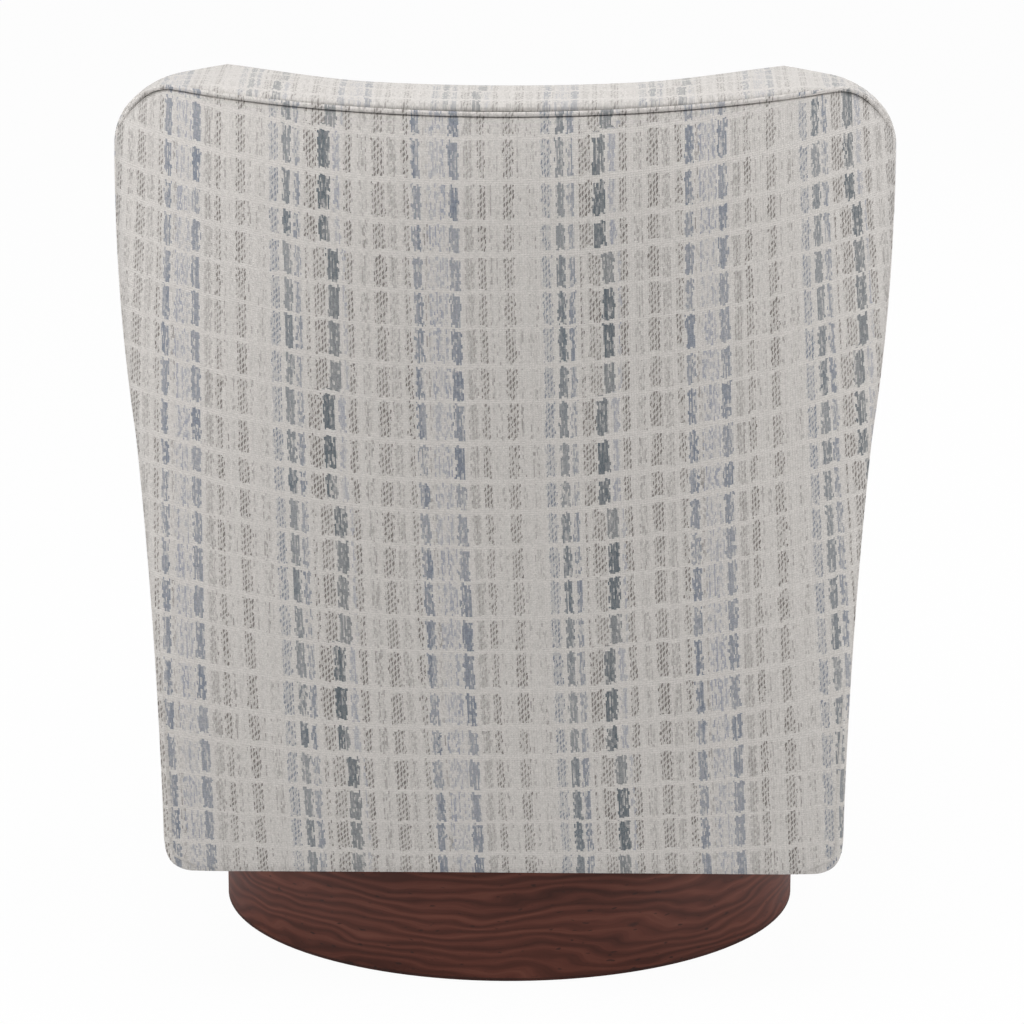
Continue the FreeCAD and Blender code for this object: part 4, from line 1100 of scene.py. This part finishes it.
# %% Rear welt
add_welt("rear_welt", "rocker", rear_edge_points(-0.0005, welt_radius), rear_cloth, "back_welt")

# %% [markdown]
# ## Band
# A strip of the same cloth boxes the thickness of the back. It climbs each side from
# a seam, turns over the round corner and runs across the rounded top. Its grid has
# one column for each place on the outline, and its rows run from the rear welt over
# the crown to the front edge.

# %% Band round the back
band_seam = 0.800
corner_draw = 0.007
band_rows_count = 34
tuck_rows = 8
tuck_depth = 0.024
wing_tuck = 0.012
band_rear_round = 0.006
side_fill = 0.003
wing_lean = 0.018
wing_rise = 0.130
side_sink = 0.0012
middle_sink = 0.0036
side_round = 0.010
top_round = 0.004
corner_round = 0.030
# Where along X each change of the band's form starts and ends
sink_span = (0.13, 0.26)
round_span = (0.22, 0.37)
wing_tuck_span = (0.25, 0.28)
follow_span = (0.33, 0.25)


def outline_stations():
    """Places on the outline from one side seam over the top to the other, with outward directions."""
    found = []
    for height in rounded_rows(band_seam + 0.001, shoulder.y, 0.010)[:-1]:
        found.append((side_at(height), height, 1.0, 0.0))
    for turn in corner_turn(14):
        found.append((corner_middle.x + top_corner * math.cos(turn),
                      shoulder.y + top_corner * math.sin(turn), math.cos(turn), math.sin(turn)))
    count = 28
    for number in range(1, count + 1):
        x = corner_middle.x * (1 - number / count)
        found.append((x, crest_at(x), 0.0, 1.0))
    return found + [(-x, height, -across, up) for x, height, across, up in found[-2::-1]]


stations = outline_stations()


def wing_line(height):
    """Y of the arm line at a height, for the wing."""
    share = keep_inside((height - swoop_head.y) / wing_rise, 0, 1)
    return swoop_head.x + wing_lean * share


def front_rounding(x, up):
    """Radius of the band's front edge: softest round the top corners."""
    extra = top_round + corner_round * smooth_step(*round_span, abs(x))
    return side_round + smooth_step(0, 0.5, up) * extra


def top_sink(x):
    """How far the padding on top settles: most in the middle."""
    return side_sink + middle_sink * (1 - smooth_step(*sink_span, abs(x)))


def band_place(u, v):
    """Band: u along the outline, v from the rear welt to the front edge."""
    x, height, across, up = stations[round(u * (len(stations) - 1))]
    rear = rear_face(x, min(height, top_height - panel_dip(x))) - 0.001
    on_top = smooth_step(*follow_span, abs(x)) * up
    front_edge = inner_circle(x) if up == 1.0 else wing_line(height)
    front_round = front_rounding(x, up)
    last = band_rows_count - tuck_rows
    number = round(v * band_rows_count)
    share = min(number / last, 1)
    eased = share - 0.06 * math.sin(2 * math.pi * share)
    y = rear + (front_edge - rear) * eased
    base = Vector((x, y, height))
    if up > 0.5:
        base.z = min(height, crown_at(x, y)) - top_sink(x) * smooth_step(0, 0.03, rear - y) * up
    from_rear = max(band_rear_round - (rear - y), 0)
    from_front = max(front_round - (y - front_edge), 0)
    drop = band_rear_round - math.sqrt(max(band_rear_round ** 2 - from_rear ** 2, 0))
    drop += front_round - math.sqrt(max(front_round ** 2 - from_front ** 2, 0))
    base.x -= across * drop
    base.z -= up * drop
    if number > last:
        tuck = (tuck_depth + wing_tuck * smooth_step(*wing_tuck_span, abs(x))) * (number - last) / tuck_rows
        base.x -= across * tuck
        base.z -= up * tuck
        if on_top > 0:
            follow = bowed(inner_table, x, base.z) + 0.002 if abs(x) < inner_half_span else base.y
            base.y = base.y + (follow - base.y) * on_top
    draw = corner_draw * 2 * abs(across) * up * share - side_fill * (1 - up) * math.sin(math.pi * share)
    base.x -= across * draw
    base.z -= up * draw
    return base


band_teal = 0.588
band_first_column = 0.0396
band_first_row = 0.03
band_level = 0.92


def band_cloth(point, u, v):
    """Cloth place on the band: along the outline, and from the welt forwards."""
    x, height, across, up = stations[round(u * (len(stations) - 1))]
    radius = bow_radius(rear_table, band_level)
    reach = radius * math.asin(min(abs(x), corner_middle.x) / radius)
    if up < 1.0:
        reach += top_corner * math.acos(up) + max(shoulder.y - height, 0)
    along = -math.copysign(reach, x)
    forwards = abs(bowed(rear_table, x, min(height, top_height)) - point.y)
    return along + band_first_column + band_teal * band_repeat, band_first_row - forwards


band = add_cover("back_band_cover", len(stations) - 1, band_rows_count, band_place, band_cloth,
                 (0, 0.2, 0.75), 0.003, band_check, "back_band")
print("band", len(band.data.polygons), "quads")

# %% [markdown]
# ## Outside arms
# Each side panel runs from the arm front to the rear welt and from the hem to the arm
# line, or to the band's side seam further back. Its four edges are curves, and the
# points between them are blended from the edges.

# %% Outside arm panels
front_turn = 0.006
side_ripple = (0.14, 0.0010)
turn_width = 0.012


def side_rear(height):
    """Y of the rear edge of a side."""
    return bowed(rear_table, side_at(height), height)


def line_at(line, share):
    """Point at a share of a line's even points."""
    place = share * (len(line) - 1)
    index = min(int(place), len(line) - 2)
    return line[index].lerp(line[index + 1], place - index)


def arm_top_edge():
    """From the top of the arm front along the arm and the swoop, then level to the rear."""
    line = [point for point in arm_line() if arm_front_straight - 0.001 < point.y < band_seam]
    last = Vector((wing_line(band_seam), band_seam - 0.001))
    return spaced(line + [last, Vector((side_rear(band_seam), band_seam - 0.001))], 0.008)


def blended(top, front, rear, u, v):
    """Place inside four edges: three are functions of a share, and the bottom is straight."""
    bottom = front(0).lerp(rear(0), u)
    across = bottom.lerp(top(u), v) + front(v).lerp(rear(v), u)
    return across - bottom.lerp(top(0).lerp(top(1), u), v)


top_edge = arm_top_edge()
arm_front_top = top_edge[0].y


def outside_arm_place(u, v, side):
    """One outside arm: u from front to rear, v from the hem up."""
    def front_edge(share):
        return Vector((body_front, hem_height + (arm_front_top - hem_height) * share))

    def rear_edge(share):
        height = hem_height + (band_seam - hem_height) * share
        return Vector((side_rear(height), height))

    flat = blended(lambda share: line_at(top_edge, share), front_edge, rear_edge, u, v)
    edge = min(u * 0.8, (1 - v) * 0.6, v * 0.6, (1 - u) * 0.8)
    turned = front_turn * (1 - min(edge / turn_width, 1)) ** 2
    half = side_at(flat.y) - turned + ripple(Vector((flat.x, side, flat.y)), *side_ripple)
    return Vector((side * half, flat.x, flat.y))


for side, side_name in ((1, "left"), (-1, "right")):
    name = f"outside_arm_{side_name}_cover"
    add_cover(name, 64, 56, lambda u, v: outside_arm_place(u, v, side), side_cloth,
              (0, 0, 0.4), 0.004, check, f"outside_arm_{side_name}")
print("outside arms made")

# %% [markdown]
# ## Arm pads
# Each arm has a boxed strip over its front, its top and the wing front, and an inner
# panel below that strip. The strip swells a little between its seams and turns over
# the inner edge, where its border hides the inner panel's.

# %% Arm strip and inner panel
strip_line = spaced(arm_line() + [Vector((wing_front + 0.008, 0.912))], 0.010)
inner_turn = 0.010
flat_share = 0.72
strip_fill = 0.004
strip_inset = 0.003
strip_outer_drop = 0.002
strip_border = 0.010
wing_tip_span = (0.85, 0.91)
wing_tip_draw = Vector((0.014, 0.006, 0.030))
strip_cloth_size = (0.11, 1.5)
strip_first_column = 0.02
inner_top = 0.922
inner_inset = 0.004
inner_overlap = 0.012
inner_stand = 0.0022
inner_fill = 0.003


def strip_place(u, v, side):
    """Strip: u along the arm line, v from the outer seam to the inner edge and over it."""
    number = round(u * (len(strip_line) - 1))
    here = strip_line[number]
    ahead = strip_line[min(number + 1, len(strip_line) - 1)]
    behind = strip_line[max(number - 1, 0)]
    way = (ahead - behind).normalized()
    out = Vector((-way.y, way.x))
    height = min(here.y, top_height - 0.001)
    outer = side_at(height) - strip_inset
    inner = well_at(here.y) + inner_turn * 0.1
    if v < flat_share:
        share = v / flat_share
        x = outer + (inner + inner_turn - outer) * share
        lift = strip_fill * math.sin(math.pi * share) - strip_outer_drop * (1 - share)
    else:
        turn = (v - flat_share) / (1 - flat_share)
        angle = min(turn / 0.5, 1) * math.pi / 2
        x = inner + inner_turn - inner_turn * math.sin(angle)
        lift = -inner_turn * (1 - math.cos(angle)) - strip_border * max(turn - 0.5, 0) * 2
    place = here + out * lift
    draw = wing_tip_draw * smooth_step(*wing_tip_span, here.y) * (1 - min(v / flat_share, 1))
    return Vector((side * (x - draw.x), place.x + draw.y, place.y - draw.z))


def strip_cloth(point, u, v):
    """Cloth place on the strip: columns run along it."""
    return v * strip_cloth_size[0] + strip_first_column, u * strip_cloth_size[1]


def inner_panel_place(u, v, side):
    """Inner arm: u from the front to the inside back, v from the seat up to the arm line."""
    def front_edge(share):
        return Vector((body_front + inner_inset, well_start + (inner_top_edge[0].y - well_start) * share))

    def rear_edge(share):
        height = well_start + (inner_top - well_start) * share
        return Vector((bowed(inner_table, well_at(height), height) + inner_overlap, height))

    flat = blended(lambda share: line_at(inner_top_edge, share), front_edge, rear_edge, u, v)
    x = well_at(flat.y) + inner_stand - inner_fill * math.sin(math.pi * u) * math.sin(math.pi * v)
    return Vector((side * x, flat.x, flat.y))


inner_top_edge = spaced([
    point + Vector((0.006, -0.008)) for point in strip_line if point.y > arm_front_straight - 0.001], 0.008)

for side, side_name in ((1, "left"), (-1, "right")):
    name = f"arm_strip_{side_name}"
    strip = add_cover(name, len(strip_line) - 1, 26, lambda u, v: strip_place(u, v, side), strip_cloth,
                      (side * 0.3, 0.1, 0.35), 0.003, check, f"arm_pad_{side_name}")
    name = f"inner_arm_{side_name}_cover"
    panel = add_cover(name, 56, 44, lambda u, v: inner_panel_place(u, v, side), side_cloth,
                      (side * 0.5, 0, 0.5), 0.003, check)
print("arm strips", len(strip_line), "stations")

# %% [markdown]
# ## Front welt
# One more welt follows the arm's outer edge from the hem, climbs the wing and crosses
# the top along the band's front edge, then comes down the other side.

# %% Front welt
corner_side = 0.36


def front_edge_points():
    """The front seam from the left hem over the top to the middle, then mirrored."""
    right = []
    for point in strip_line:
        if point.y < shoulder.y:
            right.append(Vector((side_at(point.y) - 0.002, point.x - 0.001, point.y)))
    for turn in corner_turn(10):
        drop = front_rounding(corner_side, math.sin(turn)) - 0.003 + corner_draw * math.sin(2 * turn)
        right.append(Vector((
            corner_middle.x + (top_corner - drop) * math.cos(turn), wing_front + 0.001,
            shoulder.y + (top_corner - drop) * math.sin(turn))))
    count = 30
    for number in range(1, count + 1):
        x = corner_middle.x * (1 - number / count)
        y = inner_circle(x)
        drop = front_rounding(x, 1.0) - 0.002
        right.append(Vector((x, y, min(crest_at(x), crown_at(x, y)) - top_sink(x) - drop)))
    return both_sides(right)


add_welt("front_welt", "rocker", front_edge_points(), front_cloth)

# %% [markdown]
# ## Inside back
# The back cushioning is fixed: one bowed pad between the wings, a little full in the
# middle. Its cover is a grid on the bowed inner face, closed behind by its wadding.

# %% Inside back pad
back_fill = 0.008
back_gap = 0.0005
back_stand = 0.004
inner_ripple = (0.15, 0.0012)


def inside_back_place(u, v):
    """Inside back: u across, v from the seat up."""
    height = seat_level + 0.002 + (inner_top - seat_level) * v
    x = (2 * u - 1) * (well_at(height) - back_gap)
    fill = math.sin(math.pi * u) ** 0.5 * math.sin(math.pi * min(v * 1.02, 1)) ** 0.5
    y = bowed(inner_table, x, height) - back_fill * fill + back_stand
    y += ripple(Vector((x, 1, height)), *inner_ripple)
    return Vector((x, y, height))


inside_back = add_cover("inside_back_cover", 52, 56, inside_back_place, front_cloth,
                        (0, 0.6, 0.6), 0.035, check, "inside_back")

# %% [markdown]
# ## Front border
# The border closes the front below the cushion, between the arm fronts. It is a
# padded board: flat, with edges that turn in at the top and at the hem.

# %% Front border panel
border_half = 0.2617
border_top = 0.3215
border_turn = 0.010
border_fill = 0.004


def border_place(u, v):
    """Front border: u across, v from under the hem up and over the top."""
    height = hem_height + (border_top - hem_height) * v
    x = (2 * u - 1) * border_half
    fill = math.sin(math.pi * u) ** 0.4 * math.sin(math.pi * v) ** 0.4
    y = body_front + inner_inset - border_fill * fill
    for edge in (height - hem_height, border_top - height):
        y += border_turn - math.sqrt(border_turn ** 2 - max(border_turn - edge, 0) ** 2)
    return Vector((x, y, height))


border = add_cover("front_border_cover", 48, 40, border_place, front_cloth,
                   (0, 0, 0.23), 0.018, check, "front_border")

# %% [markdown]
# ## Seat cushion
# The loose cushion is a boxed block of foam. Its closed shape starts a little small
# and a short cloth simulation blows it up, which rounds its top and its sides. It is
# flat only where it touches the deck, the arms and the back. Its welts and its cloth
# map come last, because remeshing removes seams.

# %% Cushion shape
cushion_half = 0.2588
cushion_front = -0.4175
cushion_back = 0.1145
cushion_bottom = 0.3226
cushion_top = 0.4835
cushion_corner = 0.040
cushion_start_inset = 0.010
cushion_cap = 0.022
cushion_voxel = 0.0075
cushion_pressure = 4.0
cushion_crown = 0.010
crown_sharpness = 2.4
cushion_waist = 0.008
cushion_rim = cushion_top - 0.026
cushion_middle = (cushion_front + cushion_back) / 2
cushion_half_depth = (cushion_back - cushion_front) / 2


def rounded_plan(x, y, half, half_depth, corner):
    """Pulls a point of a rectangle in so that the corners are round in plan."""
    core = Vector((keep_inside(x, corner - half, half - corner),
                   keep_inside(y, corner - half_depth, half_depth - corner)))
    away = Vector((x, y)) - core
    if away.length < 1e-9:
        return Vector((x, y))
    return core + away.normalized() * max(abs(away.x), abs(away.y))


def cushion_start(x, y, z):
    """A block smaller than the cushion and a little crowned, each part from -1 to 1."""
    half = cushion_half - cushion_start_inset
    half_depth = cushion_half_depth - cushion_start_inset
    bottom = cushion_bottom + 0.001
    flat = rounded_plan(x * half, y * half_depth, half, half_depth, cushion_corner)
    crown = cushion_crown * (1 - max(abs(x), abs(y)) ** crown_sharpness) * max(z, 0)
    waist = 1 - cushion_waist * (1 - z * z)
    height = bottom + (cushion_rim - bottom) * (z + 1) / 2 + crown
    return flat.x * waist, cushion_middle + flat.y * waist, height


def settled_places(piece):
    """Vertex places with the piece's modifiers worked out."""
    evaluated = piece.evaluated_get(bpy.context.evaluated_depsgraph_get())
    made = evaluated.to_mesh()
    places = [vert.co.copy() for vert in made.vertices]
    evaluated.to_mesh_clear()
    return places


def apply_modifier(piece, modifier):
    """Makes a modifier's result the piece's own mesh."""
    with bpy.context.temp_override(object=piece, active_object=piece, selected_objects=[piece]):
        bpy.ops.object.modifier_apply(modifier=modifier.name)


def blow_up(piece, voxel, pressure, cap, frames=20):
    """Fills a closed piece as a cloth bag, with a cap on how far each point may move."""
    even = piece.modifiers.new("even", "REMESH")
    even.mode = "VOXEL"
    even.voxel_size = voxel
    apply_modifier(piece, even)
    bag = piece.modifiers.new("bag", "CLOTH")
    bag.settings.use_pressure = True
    bag.settings.uniform_pressure_force = pressure
    bag.settings.effector_weights.gravity = 0
    bag.point_cache.frame_start = 1
    bag.point_cache.frame_end = frames
    for number in range(1, frames + 1):
        bpy.context.scene.frame_set(number)
    places = settled_places(piece)
    piece.modifiers.remove(bag)
    bpy.context.scene.frame_set(1)
    for vert, place in zip(piece.data.vertices, places):
        shift = place - vert.co
        if shift.length > cap:
            shift *= cap / shift.length
        vert.co += shift


def cushion_cloth(place, normal):
    """Cloth place: the check runs forwards over the top and down the front."""
    size = [abs(value) for value in normal]
    forwards = cushion_back - place.y
    if size[2] > max(size[0], size[1]):
        return place.x + first_column, forwards
    if size[1] > size[0]:
        over = cushion_back - cushion_front if normal.y < 0 else 0.0
        return place.x + first_column, over + cushion_top - place.z
    return forwards + first_column, cushion_top - place.z


# %% Cushion
cushion = put(block("seat_cushion_cover", 23, cushion_start), "seat_cushion_cover",
              "cushion", "woven_check", check, "seat_cushion")
blow_up(cushion, cushion_voxel, cushion_pressure, cushion_cap)
for vert in cushion.data.vertices:
    vert.co.x = keep_inside(vert.co.x, -cushion_half, cushion_half)
    vert.co.y = keep_inside(vert.co.y, cushion_front, cushion_back)
    vert.co.z = keep_inside(vert.co.z, cushion_bottom, cushion_top)
smoother = cushion.modifiers.new("finer", "SUBSURF")
smoother.levels = 1
smoother.render_levels = 1
apply_modifier(cushion, smoother)
cloth_layer = cushion.data.uv_layers.new(name=cloth_map)
for polygon in cushion.data.polygons:
    polygon.use_smooth = True
    for index in polygon.loop_indices:
        place = cushion.data.vertices[cushion.data.loops[index].vertex_index].co
        cloth_layer.data[index].uv = cushion_cloth(place, polygon.normal)
print("cushion", len(cushion.data.polygons), "quads, simulated")

# %% [markdown]
# ## Cushion welts
# The cushion's border is sewn to its top and to its bottom with a welt at each seam.
# Each welt goes once round, and every point of it is dropped on to the cover's side
# by casting a ray towards the cushion's middle.

# %% Cushion welts
cushion_tree = bvhtree.BVHTree.FromPolygons(
    [vert.co for vert in cushion.data.vertices],
    [polygon.vertices for polygon in cushion.data.polygons])
welt_margin = 0.0008
welt_stand = 0.002
welt_heights = {
    "cushion_top_welt": cushion_top - 0.029,
    "cushion_bottom_welt": cushion_bottom + 0.014}


def round_points(height, count=160):
    """Points round the cushion at a height, on its cover."""
    middle = Vector((0, cushion_middle, height))
    side_reach = cushion_half + welt_stand - welt_radius - welt_margin
    found = []
    for number in range(count):
        angle = 2 * math.pi * number / count
        reach = 1 / max(abs(math.cos(angle)), abs(math.sin(angle)))
        flat = rounded_plan(
            math.cos(angle) * reach * cushion_half, math.sin(angle) * reach * cushion_half_depth,
            cushion_half, cushion_half_depth, cushion_corner)
        aim = Vector((flat.x, flat.y, 0))
        start = middle + aim * 1.3
        hit, normal, index, distance = cushion_tree.ray_cast(start, -aim.normalized())
        place = hit if hit else middle + aim
        place.x = keep_inside(place.x, -side_reach, side_reach)
        place.y = keep_inside(place.y, cushion_front + welt_radius - welt_stand, cushion_back - welt_radius)
        found.append(place)
    return found


for name, height in welt_heights.items():
    add_welt(name, "cushion", round_points(height), front_cloth, closed=True)

# %% [markdown]
# ## Deck and dust cover
# The deck is a thin pad under the cushion, sewn over the seat springs. The dust cover
# is a black cloth stapled flat under the seat rails, with a square opening for the
# swivel. Neither shows from behind, yet both are there when the chair is turned over.

# %% Seat deck
deck_low, deck_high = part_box("seat_deck")
deck_round = 0.0024
deck_hollow = 0.0015


def deck_place(x, y, z):
    """A pad in the deck's space, with rounded edges and a slight hollow in the middle."""
    middle = (deck_low + deck_high) / 2
    half = (deck_high - deck_low) / 2
    rim = max(abs(x), abs(y)) ** 8
    fall = deck_hollow * (1 - abs(x) ** 2) * (1 - abs(y) ** 2) if z > 0 else 0.0
    height = middle.z + z * (half.z - rim * deck_round) - fall
    return middle.x + x * half.x, middle.y + y * half.y, height


deck = put(block("seat_deck_cover", 19, deck_place), "seat_deck_cover", "rocker", "deck_cloth",
           finishes["deck_cloth"], "seat_deck")

# %% Dust cover
dust_low, dust_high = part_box("dust_cover")
dust_hole_half = 0.168
dust_ripple = (0.09, 0.0008)
dust_thickness = 0.0008
dust_level = (dust_low.z + dust_high.z) / 2


def from_axis(face):
    """How far a face is from the swivel's axis, along X or Y."""
    centre = face.calc_center_median()
    return max(abs(centre.x), abs(centre.y))


def dust_cover_mesh():
    """A flat cloth with a square opening, wavy by a fraction of a millimetre between its staples."""
    shape = bmesh.new()
    bmesh.ops.create_grid(shape, x_segments=72, y_segments=88, size=0.5)
    width, length = dust_high.x - dust_low.x, dust_high.y - dust_low.y
    for vert in shape.verts:
        x = dust_low.x + (vert.co.x + 0.5) * width
        y = dust_low.y + (vert.co.y + 0.5) * length
        vert.co = (x, y, dust_level + ripple(Vector((x, y, 0)), *dust_ripple))
    inside = [face for face in shape.faces if from_axis(face) < dust_hole_half]
    bmesh.ops.delete(shape, geom=inside, context="FACES")
    return mesh_from(shape, "dust_cover_cloth")


dust_mesh = dust_cover_mesh()
dust = put(dust_mesh, "dust_cover_cloth", "rocker", "cover_cloth", finishes["cover_cloth"], "dust_cover")
thicken(dust, dust_thickness)
